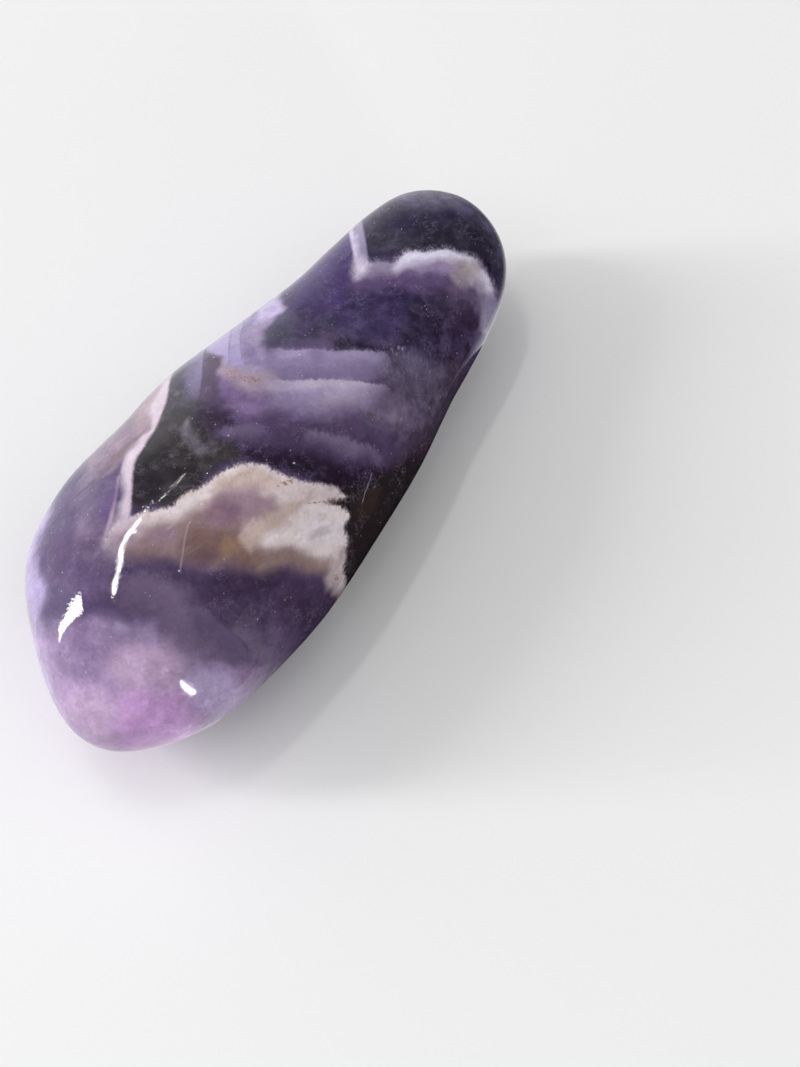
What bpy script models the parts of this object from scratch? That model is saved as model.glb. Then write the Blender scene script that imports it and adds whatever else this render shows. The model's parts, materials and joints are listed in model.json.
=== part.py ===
"""A tumbled chevron amethyst: one long pear-shaped pebble that lies on its worn flat underside.

The stone is one solid. A sphere of even triangles gives every direction from the stone's middle, and
each direction is placed by smooth curves of width, height and sideways sway along the length. Broad
worn faces, as tumbling leaves them, are then pressed in, low swells are added, and the underside is
ground flat at Z = 0.
"""

import bmesh
import bpy
import numpy as np

MM = 0.001

# Driving sizes in millimetres. X runs from the broad bulb end to the narrow head, Z is up, and the
# origin is under the middle of the stone. The length is the one before wear.
LENGTH = 45.0
SPHERE_SUBDIVISIONS = 5

# Curves along the length, each at nine evenly spaced stations from the bulb end to the head
HALF_WIDTH = (9.5, 11.2, 10.4, 9.2, 8.6, 8.0, 7.5, 8.5, 11.1)
SWAY = (-2.5, -0.6, 0.0, -0.3, 0.1, 0.3, 0.5, 0.7, 0.9)
MIDDLE_HEIGHT = (7.7, 7.5, 7.4, 7.3, 7.1, 6.8, 6.7, 6.8, 7.0)
RISE = (10.0, 9.0, 8.3, 7.9, 7.4, 6.8, 6.4, 7.0, 9.4)
DROP = (10.2, 9.1, 8.5, 8.2, 8.0, 7.5, 7.2, 7.8, 9.8)

# Worn faces: place along the length from -1 to 1, degrees round it from +Y over the top, how deep the
# face is pressed in, how far it spreads, and how softly it meets the rest
WORN_FACES = {
    "top of the bulb": (-0.42, 98, 0.3, 15, 1.0),
    "top of the neck": (0.4, 84, 0.2, 13, 0.9),
    "back flank": (-0.55, 34, 0.4, 13, 0.9),
    "front flank": (-0.25, 142, 0.3, 14, 0.9),
    "bulb end": (-0.92, 100, 0.3, 10, 0.8),
    "head crown": (0.9, 60, 0.15, 8, 0.6),
    "head front": (0.65, 145, 0.15, 9, 0.6),
    "neck back": (0.15, 20, 0.1, 10, 0.6),
    "under the back": (-0.45, 308, 0.1, 14, 0.9),
    "under the front": (-0.1, 230, 0.1, 14, 0.9),
    "under the head": (0.75, 295, 0.1, 11, 0.8),
}

# The small steps from a worn face's middle, along and in degrees round, that give the way it faces
STEP_ALONG = 0.01
STEP_ROUND = 1.0

# Low swells in the surface: how fast each wave turns along X, Y and Z, its phase, and its height
SWELLS = (
    ((5.0, 2.5, 1.0), 0.6, 0.10),
    ((-3.0, 4.5, 2.5), 2.1, 0.08),
    ((7.5, -3.0, 3.5), 4.0, 0.05),
)

# How softly the ground underside turns up into the sides
FOOT_SOFTNESS = 0.4

# Finish
STONE_COLOUR = (0.105, 0.062, 0.150, 1.0)
STONE_ROUGHNESS = 0.12


def clear_scene():
    for item in list(bpy.data.objects):
        bpy.data.objects.remove(item, do_unlink=True)


def along_curve(values, place):
    """A smooth curve through evenly spaced values, read at places from -1 to 1."""
    last = len(values) - 1
    steps = (place + 1) / 2 * last
    index = np.clip(np.floor(steps).astype(int), 0, last - 1)
    t = steps - index
    ahead_of_first = 2 * values[0] - values[1]
    past_the_last = 2 * values[-1] - values[-2]
    padded = np.array([ahead_of_first, *values, past_the_last])
    before, here, there, after = (padded[index + k] for k in range(4))
    slope = there - before
    bend = 2 * before - 5 * here + 4 * there - after
    twist = 3 * here - before - 3 * there + after
    return 0.5 * (2 * here + slope * t + bend * t**2 + twist * t**3)


def smooth_above(height, softness):
    """The height where it is above zero, and zero below, with a soft turn between."""
    turn = (height + softness) ** 2 / (4 * softness)
    return np.where(height < -softness, 0, np.where(height > softness, height, turn))


def pebble(directions):
    """Points of the plain pebble, in millimetres, for unit directions from its middle."""
    along, across, upward = directions.T
    share_up = (upward + 1) / 2
    share_up = share_up**2 * (3 - 2 * share_up)
    rise = along_curve(RISE, along)
    drop = along_curve(DROP, along)
    x = LENGTH / 2 * along
    y = along_curve(SWAY, along) + along_curve(HALF_WIDTH, along) * across
    z = along_curve(MIDDLE_HEIGHT, along) + (drop + (rise - drop) * share_up) * upward
    return np.stack([x, y, z], axis=1)


def pebble_spot(along, around):
    """The pebble's point at a place along it and an angle round it."""
    ring = np.sqrt(1 - along**2)
    angle = np.radians(around)
    heading = (along, ring * np.cos(angle), ring * np.sin(angle))
    return pebble(np.array([heading]))[0]


def press_faces(points):
    """The points with every worn face pressed in."""
    pressed = points.copy()
    for along, around, depth, spread, softness in WORN_FACES.values():
        centre = pebble_spot(along, around)
        ahead = pebble_spot(along + STEP_ALONG, around) - centre
        turned = pebble_spot(along, around + STEP_ROUND) - centre
        outward = np.cross(turned, ahead)
        outward /= np.linalg.norm(outward)
        away = np.linalg.norm(points - centre, axis=1) / spread
        # One over most of the face, easing to nothing where its spread ends
        fade = 1 - (1 - np.clip(1 - away**2, 0, 1) ** 2) ** 3
        proud = smooth_above((points - centre) @ outward + depth, softness)
        pressed -= np.outer(proud * fade, outward)
    return pressed


def swell(directions):
    """How far the low swells push each point out along its direction."""
    total = np.zeros(len(directions))
    for waves, phase, height in SWELLS:
        total += height * np.sin(directions @ np.array(waves) + phase)
    return directions * total[:, None]


def stone_points(directions):
    """Points of the finished stone, in metres, with the origin under the middle of its box."""
    points = press_faces(pebble(directions)) + swell(directions)
    points[:, 2] = smooth_above(points[:, 2], FOOT_SOFTNESS)
    box_middle = (points.min(axis=0) + points.max(axis=0)) / 2
    points[:, :2] -= box_middle[:2]
    return points * MM


def stone_material():
    material = bpy.data.materials.new("banded amethyst")
    material.use_nodes = True
    shader = material.node_tree.nodes["Principled BSDF"]
    shader.inputs["Base Color"].default_value = STONE_COLOUR
    shader.inputs["Roughness"].default_value = STONE_ROUGHNESS
    shader.inputs["Metallic"].default_value = 0.0
    return material


def build_stone():
    ball = bmesh.new()
    bmesh.ops.create_icosphere(ball, subdivisions=SPHERE_SUBDIVISIONS, radius=1.0)
    directions = np.array([vertex.co.normalized() for vertex in ball.verts])
    for vertex, point in zip(ball.verts, stone_points(directions)):
        vertex.co = point
    mesh = bpy.data.meshes.new("tumbled_amethyst")
    ball.to_mesh(mesh)
    ball.free()
    mesh.shade_smooth()
    mesh.materials.append(stone_material())
    stone = bpy.data.objects.new("tumbled_amethyst", mesh)
    bpy.context.scene.collection.objects.link(stone)
    return stone


clear_scene()
build_stone()
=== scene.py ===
# %% [markdown]
# # A tumbled chevron amethyst
#
# The object is one pebble of banded quartz, about the length of a thumb joint and a half. It grew as one
# crystal mass: violet zones, dark smoky zones and milky white zones followed each other outwards, and each
# zone's edge kept the zigzag of the crystal tips. A tumbling barrel then wore it into a smooth pear shape
# and polished it, so the zigzag sheets now end at the surface as bands.
#
# The lesson goes in that order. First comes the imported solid, which says where the stone is and how big.
# Then the fine surface, then the growth bands, then the finish, and last the light and the camera.

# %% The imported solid
import json
import math

import bmesh
import bpy
import numpy as np
from mathutils import Matrix, Vector, noise

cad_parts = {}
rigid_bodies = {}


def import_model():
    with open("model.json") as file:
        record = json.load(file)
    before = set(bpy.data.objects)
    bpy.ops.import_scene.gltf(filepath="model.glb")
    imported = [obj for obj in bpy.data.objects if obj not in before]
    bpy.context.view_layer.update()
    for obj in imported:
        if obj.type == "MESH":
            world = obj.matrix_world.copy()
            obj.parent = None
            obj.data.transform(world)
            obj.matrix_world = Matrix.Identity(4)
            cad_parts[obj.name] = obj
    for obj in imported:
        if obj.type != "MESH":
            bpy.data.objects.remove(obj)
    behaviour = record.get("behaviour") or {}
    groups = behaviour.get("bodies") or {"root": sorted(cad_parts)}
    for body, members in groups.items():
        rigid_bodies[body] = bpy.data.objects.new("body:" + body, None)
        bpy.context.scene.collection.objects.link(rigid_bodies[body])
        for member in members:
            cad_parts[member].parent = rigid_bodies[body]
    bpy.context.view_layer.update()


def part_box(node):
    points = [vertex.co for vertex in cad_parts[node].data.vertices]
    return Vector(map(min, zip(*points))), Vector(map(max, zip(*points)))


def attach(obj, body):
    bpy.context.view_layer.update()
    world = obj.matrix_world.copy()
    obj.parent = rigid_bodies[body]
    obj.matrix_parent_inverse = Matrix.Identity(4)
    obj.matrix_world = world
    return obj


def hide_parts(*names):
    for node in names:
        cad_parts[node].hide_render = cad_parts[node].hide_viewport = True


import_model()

MM = 0.001
STONE_NODE = "tumbled_amethyst"
node_low, node_high = (np.array(corner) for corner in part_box(STONE_NODE))
print("box of the solid in mm:", np.round(node_low / MM, 2), np.round(node_high / MM, 2))

# %% [markdown]
# ## Even directions for a pear-shaped surface
#
# A pebble has no corner to start from. A UV sphere would put two poles on it, and both would show as
# pinches in the polish. A cube whose faces are cut into an even grid and blown up to a ball has neither
# poles nor long thin faces. The tangent spreads the grid lines by equal angles.

# %% A ball from a cut cube
GRID_CUTS = 127


def ball_directions(ball):
    """Unit directions of a cut cube's vertices, spread by equal angles."""
    corners = np.array([vertex.co for vertex in ball.verts])
    spread = np.tan(corners * math.pi / 4)
    return spread / np.linalg.norm(spread, axis=1)[:, None]


ball = bmesh.new()
bmesh.ops.create_cube(ball, size=2.0)
bmesh.ops.subdivide_edges(ball, edges=ball.edges[:], cuts=GRID_CUTS, use_grid_fill=True)
directions = ball_directions(ball)
print("directions:", len(directions), "faces:", len(ball.faces))

# %% [markdown]
# ## The plain pear
#
# Tumbling leaves a form with no edge anywhere. The few driving sizes that the solid was built from are
# repeated here, because the fine surface has to be the same stone. Curves along the length give the half
# width, the sideways sway, and how far the stone rises and drops from its middle height. Each curve runs
# through evenly spaced values, so a change to one of them moves only the form near it.

# %% Driving sizes of the form, in millimetres
LENGTH = 45.0
HALF_WIDTH = (9.5, 11.2, 10.4, 9.2, 8.6, 8.0, 7.5, 8.5, 11.1)
SWAY = (-2.5, -0.6, 0.0, -0.3, 0.1, 0.3, 0.5, 0.7, 0.9)
MIDDLE_HEIGHT = (7.7, 7.5, 7.4, 7.3, 7.1, 6.8, 6.7, 6.8, 7.0)
RISE = (10.0, 9.0, 8.3, 7.9, 7.4, 6.8, 6.4, 7.0, 9.4)
DROP = (10.2, 9.1, 8.5, 8.2, 8.0, 7.5, 7.2, 7.8, 9.8)

# %% Curves along the length


def along_curve(values, place):
    """A smooth curve through evenly spaced values, read at places from -1 to 1."""
    last = len(values) - 1
    steps = (place + 1) / 2 * last
    index = np.clip(np.floor(steps).astype(int), 0, last - 1)
    t = steps - index
    padded = np.array([2 * values[0] - values[1], *values, 2 * values[-1] - values[-2]])
    before, here, there, after = (padded[index + k] for k in range(4))
    slope = there - before
    bend = 2 * before - 5 * here + 4 * there - after
    twist = 3 * here - before - 3 * there + after
    return 0.5 * (2 * here + slope * t + bend * t**2 + twist * t**3)


def eased(share):
    """A share from 0 to 1 that starts and ends gently."""
    return share**2 * (3 - 2 * share)


def pebble(headings):
    """Points of the plain pebble, in millimetres, for unit directions from its middle."""
    along, across, upward = headings.T
    share_up = eased((upward + 1) / 2)
    rise = along_curve(RISE, along)
    drop = along_curve(DROP, along)
    x = LENGTH / 2 * along
    y = along_curve(SWAY, along) + along_curve(HALF_WIDTH, along) * across
    z = along_curve(MIDDLE_HEIGHT, along) + (drop + (rise - drop) * share_up) * upward
    return np.stack([x, y, z], axis=1)


print("plain pebble in mm:", np.ptp(pebble(directions), axis=0).round(1))

# %% [markdown]
# ## Faces worn flat
#
# The stone isn't a ball either: broad worn faces meet in soft ridges. Each face is a plane, set on the
# plain pebble at a place along it and an angle round it, and a little below its surface. What stands proud
# of the plane is pressed down to it softly, and the press fades out with distance. At this fine grid the
# ridges catch the light without facets.

# %% Worn faces: place along from -1 to 1, degrees round, depth, spread and softness
WORN_FACES = {
    "top of the bulb": (-0.42, 98, 0.3, 15, 1.0),
    "top of the neck": (0.4, 84, 0.2, 13, 0.9),
    "back flank": (-0.55, 34, 0.4, 13, 0.9),
    "front flank": (-0.25, 142, 0.3, 14, 0.9),
    "bulb end": (-0.92, 100, 0.3, 10, 0.8),
    "head crown": (0.9, 60, 0.15, 8, 0.6),
    "head front": (0.65, 145, 0.15, 9, 0.6),
    "neck back": (0.15, 20, 0.1, 10, 0.6),
    "under the back": (-0.45, 308, 0.1, 14, 0.9),
    "under the front": (-0.1, 230, 0.1, 14, 0.9),
    "under the head": (0.75, 295, 0.1, 11, 0.8),
}
print("worn faces:", len(WORN_FACES))

# %% Pressing them in
STEP_ALONG = 0.01
STEP_ROUND = 1.0


def smooth_above(height, softness):
    """The height where it is above zero, and zero below, with a soft turn between."""
    turn = (height + softness) ** 2 / (4 * softness)
    return np.where(height < -softness, 0, np.where(height > softness, height, turn))


def pebble_spot(along, around):
    """The pebble's point at a place along it and an angle round it."""
    ring = np.sqrt(1 - along**2)
    angle = np.radians(around)
    return pebble(np.array([(along, ring * np.cos(angle), ring * np.sin(angle))]))[0]


def press_faces(points):
    """The points with every worn face pressed in."""
    pressed = points.copy()
    for along, around, depth, spread, softness in WORN_FACES.values():
        centre = pebble_spot(along, around)
        ahead = pebble_spot(along + STEP_ALONG, around) - centre
        turned = pebble_spot(along, around + STEP_ROUND) - centre
        outward = np.cross(turned, ahead)
        outward /= np.linalg.norm(outward)
        away = np.linalg.norm(points - centre, axis=1) / spread
        fade = 1 - (1 - np.clip(1 - away**2, 0, 1) ** 2) ** 3
        proud = smooth_above((points - centre) @ outward + depth, softness)
        pressed -= np.outer(proud * fade, outward)
    return pressed


# %% [markdown]
# ## Swells, the foot and the true size
#
# Three low waves keep the worn faces from looking cut. The underside is ground flat where the stone rests.
# Last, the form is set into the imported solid's box, so that both have the same place and size.

# %% The fine surface, set in the solid's box
FOOT_SOFTNESS = 0.4

# How fast each low swell turns along X, Y and Z, its phase and its height
SWELLS = (
    ((5.0, 2.5, 1.0), 0.6, 0.10),
    ((-3.0, 4.5, 2.5), 2.1, 0.08),
    ((7.5, -3.0, 3.5), 4.0, 0.05),
)


def stone_points(headings):
    """Points of the stone in metres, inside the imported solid's box."""
    push = np.zeros(len(headings))
    for waves, phase, height in SWELLS:
        push += height * np.sin(headings @ np.array(waves) + phase)
    points = press_faces(pebble(headings)) + headings * push[:, None]
    points[:, 2] = smooth_above(points[:, 2], FOOT_SOFTNESS)
    low, high = points.min(axis=0), points.max(axis=0)
    return node_low + (points - low) / (high - low) * (node_high - node_low)


surface = stone_points(directions)
print("fine surface in mm:", np.round(surface.min(axis=0) / MM, 2), np.round(surface.max(axis=0) / MM, 2))

# %% [markdown]
# ## One closed mesh
#
# The ball's faces are kept, and its vertices are set on the stone's points, so the mesh is closed and has
# no seam. Smooth shading rounds the last of the facets. Which way each point faces is read off once, for
# the marks and the bands below.

# %% The stone's mesh, and which way each point of it faces


def stone_object(points):
    """The ball's faces on the stone's points, as a smooth closed mesh."""
    mesh = bpy.data.meshes.new("banded_stone")
    ball.to_mesh(mesh)
    ball.free()
    mesh.vertices.foreach_set("co", points.astype(np.float32).ravel())
    mesh.shade_smooth()
    mesh.update()
    stone = bpy.data.objects.new("banded_stone", mesh)
    bpy.context.scene.collection.objects.link(stone)
    return stone


stone = stone_object(surface)
facing = np.array([normal.vector for normal in stone.data.vertex_normals])
print("triangles:", 2 * len(stone.data.polygons))

# %% [markdown]
# ## Pits and the slow wobble of the polish
#
# A tumbled stone isn't a lens. Grit leaves shallow dimples and a slow wobble, a few hundredths of a
# millimetre deep, that only shows where a lamp is mirrored: the glint's rim turns ragged. These are true
# shape, so they are moved in the mesh. The seed is fixed, so that each run gives the same stone.

# %% Small marks of the barrel, with depths and radii in millimetres
PIT_COUNT = 70
PIT_RADIUS = (0.25, 0.6)
PIT_DEPTH_SHARE = 0.05
WOBBLE_PER_MM = 0.35
WOBBLE_HEIGHT = 0.03
WOBBLE_OCTAVES = 3
RIPPLE_PER_MM = 1.1
RIPPLE_HEIGHT = 0.003
RIPPLE_OCTAVES = 1
MARKS_SEED = 11


def wobble(points, per_mm, octaves):
    """An unevenness from 0 to 1."""
    waves = np.array([noise.fractal(Vector(p) * per_mm / MM, 1.0, 2.0, octaves) for p in points])
    return 0.5 + 0.5 * np.clip(waves, -1, 1)


def pits(points, rng):
    """How deep the pits are at each point, in millimetres."""
    depth = np.zeros(len(points))
    for _ in range(PIT_COUNT):
        centre = points[rng.integers(len(points))]
        radius = rng.uniform(*PIT_RADIUS)
        away = np.linalg.norm(points - centre, axis=1) / MM / radius
        depth = np.maximum(depth, PIT_DEPTH_SHARE * radius * np.clip(1 - away**2, 0, 1) ** 2)
    return depth


inward = wobble(surface, WOBBLE_PER_MM, WOBBLE_OCTAVES) * WOBBLE_HEIGHT
inward += wobble(surface, RIPPLE_PER_MM, RIPPLE_OCTAVES) * RIPPLE_HEIGHT
inward += pits(surface, np.random.default_rng(MARKS_SEED))
above_foot = np.clip(surface[:, 2] / MM, 0, 1)
worn = surface - facing * (inward * above_foot * MM)[:, None]
stone.data.vertices.foreach_set("co", worn.astype(np.float32).ravel())
stone.data.update()
print("deepest mark in mm:", round(float(inward.max()), 3))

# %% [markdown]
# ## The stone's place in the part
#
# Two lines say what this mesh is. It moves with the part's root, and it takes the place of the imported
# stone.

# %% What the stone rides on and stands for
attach(stone, "root")
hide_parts(STONE_NODE)

# %% [markdown]
# ## The growth frame
#
# The sheets of growth run through the stone like the pages of a book seen edge on. One direction through
# it, the grain, leaves the bands unchanged, so each band can be drawn once, as an outline across the grain,
# and every point of the surface reads it along the grain. Here `u` runs to the right and `v` up across the
# grain, in millimetres from the stone's middle. On the hidden half the sheets slowly lean and turn, so the
# back isn't a mirror of the front.

# %% Millimetres across the grain
GRAIN_TURN = -52.7
GRAIN_LEAN = 65.0
STONE_MIDDLE = (0.0, 0.0, 7.4)
HIDDEN_TURN = 14.0
HIDDEN_SHIFT = (1.4, -1.1)
HIDDEN_START = 0.15


def grain_axes():
    """Unit vectors of u, v and of the grain itself."""
    turn, lean = math.radians(GRAIN_TURN), math.radians(GRAIN_LEAN)
    flat = math.cos(lean)
    grain = np.array([math.sin(turn) * flat, -math.cos(turn) * flat, math.sin(lean)])
    right = np.array([math.cos(turn), math.sin(turn), 0.0])
    return right, np.cross(grain, right), grain


def across_grain(points, normals):
    """(u, v) of points given in metres."""
    right, up, grain = grain_axes()
    from_middle = points / MM - np.array(STONE_MIDDLE)
    u, v = from_middle @ right, from_middle @ up
    hidden = eased(np.clip((-normals @ grain - HIDDEN_START) / (1 - HIDDEN_START), 0, 1))
    angle = np.radians(HIDDEN_TURN) * hidden
    turned_u = u * np.cos(angle) - v * np.sin(angle) + HIDDEN_SHIFT[0] * hidden
    turned_v = u * np.sin(angle) + v * np.cos(angle) + HIDDEN_SHIFT[1] * hidden
    return np.stack([turned_u, turned_v], axis=1)


spots = across_grain(worn, facing)
print("u from", spots[:, 0].min().round(1), "to", spots[:, 0].max().round(1))
print("v from", spots[:, 1].min().round(1), "to", spots[:, 1].max().round(1))

# %% [markdown]
# ## Outlines, and how far a point is from one
#
# A colour zone is an outline of a few points, rounded by cutting its corners. What the finish needs is the
# distance to that outline, positive inside: a soft zone fades over a long stretch of it, and a crisp one
# turns over a short stretch that noise makes ragged.

# %% Distance to an outline
CORNER_CUT = 0.25
# Keeps a level side from dividing by zero
TINY = 1e-12


def rounded(outline, rounds=2):
    """The outline with its corners cut off, again and again."""
    points = np.array(outline, float)
    for _ in range(rounds):
        following = np.roll(points, -1, axis=0)
        after_corner = (1 - CORNER_CUT) * points + CORNER_CUT * following
        before_next = CORNER_CUT * points + (1 - CORNER_CUT) * following
        points = np.stack([after_corner, before_next], axis=1).reshape(-1, 2)
    return points


def distance_to_line(points, line):
    """Distance in millimetres from each point to an open line."""
    nearest = np.full(len(points), np.inf)
    for start, end in zip(line[:-1], line[1:]):
        way = end - start
        share = np.clip((points - start) @ way / (way @ way), 0, 1)
        gap = points - start - share[:, None] * way
        nearest = np.minimum(nearest, (gap**2).sum(axis=1))
    return np.sqrt(nearest)


def inside(points, outline):
    """True for the points inside a closed outline."""
    found = np.zeros(len(points), bool)
    for (u0, v0), (u1, v1) in zip(outline, np.roll(outline, -1, axis=0)):
        crosses = (v0 > points[:, 1]) != (v1 > points[:, 1])
        where = u0 + (points[:, 1] - v0) / (v1 - v0 + TINY) * (u1 - u0)
        found ^= crosses & (points[:, 0] < where)
    return found


def depth_inside(points, outline, rounds=2):
    """Signed distance to a closed outline, positive inside."""
    smooth = rounded(outline, rounds)
    edge = distance_to_line(points, np.concatenate([smooth, smooth[:1]]))
    return np.where(inside(points, smooth), edge, -edge)


# %% [markdown]
# ## Colours as seen, and a brush
#
# A colour is written as it looks on a screen, and turned into the linear light that a shader takes. A brush
# lays a soft zone of it over what is there. Its outlines are read on points that have drifted a little,
# slowly and finely, which gives the zones the uneven edges that inclusions have.

# %% Soft zones of colour


def tone(red, green, blue):
    """A colour as seen, 0 to 255, as the linear colour that a shader takes."""
    seen = np.array([red, green, blue]) / 255
    return np.where(seen < 0.04045, seen / 12.92, ((seen + 0.055) / 1.055) ** 2.4)


def share_inside(points, outline, softness):
    """One well inside an outline, zero well outside, with a turn that is softness wide either way."""
    return eased(np.clip(depth_inside(points, outline, 1) / softness / 2 + 0.5, 0, 1))


def brush(paint, points, zones):
    """Lays soft zones over a paint, in order. Each is colour, softness in mm, strength and outline."""
    for colour, softness, strength, outline in zones:
        share = (share_inside(points, outline, softness) * strength)[:, None]
        paint = paint * (1 - share) + tone(*colour) * share
    return paint


# %% Points that have drifted: how far in mm, and how many turns in a mm
SLOW_DRIFT = (0.55, 0.45)
FINE_DRIFT = (0.22, 1.5)
DRIFT_SEED = 11


def drifted(points, reach, per_mm):
    """Points moved about a little, so that an outline laid on them turns uneven."""
    moved = points.copy()
    for index, place in enumerate(worn / MM * per_mm):
        drift = noise.noise_vector(Vector(place))
        moved[index] += reach * drift[0], reach * drift[1]
    return moved


# Unseeded, this noise would differ from run to run
noise.seed_set(DRIFT_SEED)
uneven_spots = drifted(drifted(spots, *SLOW_DRIFT), *FINE_DRIFT)
print("largest drift in mm:", np.abs(uneven_spots - spots).max().round(2))

# %% [markdown]
# ## The cap and the neck
#
# Most of the stone is zones that melt into each other over a millimetre. They are laid one over another
# like washes of colour, big ones first and small ones on top. Each is a colour, a softness in millimetres,
# a strength and an outline in (u, v). The narrow end is slate and smoke, with mauve and deep violet below.

# %% The cap
CAP_ZONES = [
    # slate cap, its violet crown, a green-grey cloud, the dark middle, and a black notch
    ((56, 48, 74), 0.30, 1.0, [
        (4.9, 12.2), (5.0, 17.5), (8, 19.5), (16, 19), (17.5, 12), (15.8, 8.4), (14.5, 10.4), (13.9, 11.4),
        (13.0, 12.3), (8, 12.4),
    ]),
    ((132, 120, 160), 0.8, 0.9, [
        (7, 17.2), (9, 16.9), (11.5, 16.7), (13.6, 15.4), (14.8, 13), (17, 12.5), (15, 20), (6, 20),
    ]),
    ((52, 43, 74), 0.6, 0.7, [(5.9, 15.2), (6.2, 16.4), (8.6, 16.8), (8.8, 15.6), (7.2, 15)]),
    ((60, 59, 74), 0.5, 0.9, [(6.0, 12.9), (6.0, 14.4), (8.4, 14.6), (9.6, 13.8), (8.6, 13.2)]),
    ((46, 41, 58), 0.6, 0.9, [
        (8.8, 13.5), (9.4, 14.8), (11.4, 15.4), (13.6, 14.8), (14.4, 13.2), (13.4, 12.8), (11, 13.5),
    ]),
    ((40, 33, 54), 0.16, 1.0, [(13.0, 12.55), (13.2, 12.95), (13.8, 12.85), (14.2, 12.2), (13.8, 11.9)]),
]
print("zones of the cap:", len(CAP_ZONES))

# %% The neck
NECK_ZONES = [
    # mauve under the white band, and its fade
    ((98, 78, 119), 0.5, 1.0, [
        (4.8, 11.0), (5.2, 12.2), (8, 12.4), (13.0, 12.6), (13.8, 11.2), (13.4, 9.8), (12.4, 10.4),
        (10.4, 10.9),
    ]),
    ((160, 142, 176), 0.4, 0.9, [
        (7.4, 11.8), (7.6, 12.9), (13.0, 12.8), (13.6, 11.4), (13.2, 11.0), (11, 11.5),
    ]),
    ((160, 146, 158), 0.35, 0.8, [
        (11.2, 11.9), (12.5, 12.6), (13.2, 12.0), (13.1, 11.0), (12.5, 10.5), (11.5, 11.0),
    ]),
    ((96, 76, 116), 0.4, 0.8, [
        (4.6, 10.3), (5, 11.2), (9.5, 11.2), (10.6, 11.0), (10.2, 10.2), (5, 10.2),
    ]),
    ((100, 84, 112), 0.4, 0.9, [
        (10.7, 11.4), (12.6, 10.9), (13.6, 10.0), (13.6, 8.8), (12, 9.4), (10.2, 9.7),
    ]),
    # the left shoulder
    ((70, 53, 104), 0.6, 1.0, [
        (0.4, 9.6), (1.0, 11.8), (4.2, 15), (4.8, 13.4), (5, 11.2), (4.2, 9.6), (2.4, 8.9),
    ]),
    ((70, 54, 104), 0.5, 0.9, [(0.2, 9.2), (1, 10.8), (2.4, 11.6), (2.6, 9.8), (1.4, 9)]),
    # violet, slate and brown across the neck
    ((52, 38, 78), 0.5, 1.0, [
        (4.6, 10.4), (9.6, 10.5), (10, 9.4), (8.6, 8.8), (7, 9.2), (5, 9.0), (3.4, 9.2),
    ]),
    ((62, 50, 88), 0.6, 1.0, [
        (1.6, 9.0), (3.6, 9.3), (8, 9.2), (8.4, 8), (7.6, 7.3), (4, 7.4), (1.8, 7.6),
    ]),
    ((78, 68, 102), 0.35, 0.8, [(4.0, 7.8), (5.2, 8.1), (6.4, 7.8), (6.4, 7.1), (4.4, 7.1)]),
    ((52, 44, 70), 0.6, 1.0, [(8, 10), (10.2, 10), (10.6, 7), (8.4, 6.4), (7.6, 7), (8.4, 8.4)]),
    ((52, 48, 68), 0.5, 0.8, [(7.9, 8.2), (9.4, 8.2), (9.8, 6.8), (8.2, 6.8)]),
    ((68, 53, 80), 0.7, 1.0, [(10, 10.0), (12.4, 9.8), (13.2, 8), (12.4, 6), (10.6, 6.2), (10, 8)]),
    ((106, 92, 126), 0.4, 0.9, [(13.2, 10.2), (14.4, 10), (14, 6.6), (12.8, 6.0), (13.1, 8)]),
    ((36, 31, 46), 0.16, 1.0, [
        (3.95, 6.9), (5, 7.25), (5.6, 7.05), (6.5, 6.8), (8.2, 6.9), (8.2, 6.5), (6, 6.3), (4, 6.4),
    ]),
    # green-grey patches on the left
    ((84, 79, 104), 0.4, 1.0, [(-0.4, 8.8), (0.3, 9.3), (1.2, 8.9), (1.4, 7), (0.6, 6.6), (-0.6, 6.9)]),
    ((66, 64, 84), 0.3, 0.7, [(-0.3, 8.0), (0.7, 8.2), (1.1, 7.2), (0.4, 6.8), (-0.4, 7.3)]),
    ((56, 54, 72), 0.3, 0.9, [(2.2, 8.6), (3.6, 8.5), (3.8, 7.8), (2.6, 7.4), (2.0, 7.9)]),
    ((88, 78, 106), 0.4, 0.7, [(0.9, 7.8), (2.2, 7.6), (3.9, 7.4), (3.9, 6.7), (1.4, 6.7)]),
]
print("zones of the neck:", len(NECK_ZONES))

# %% [markdown]
# ## The waist
#
# Two thin milky bands cross the waist, and come later. These zones are the ground behind and between them:
# a pale cheek on the left, grey violet behind each band, and brown shade on the right.

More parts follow.
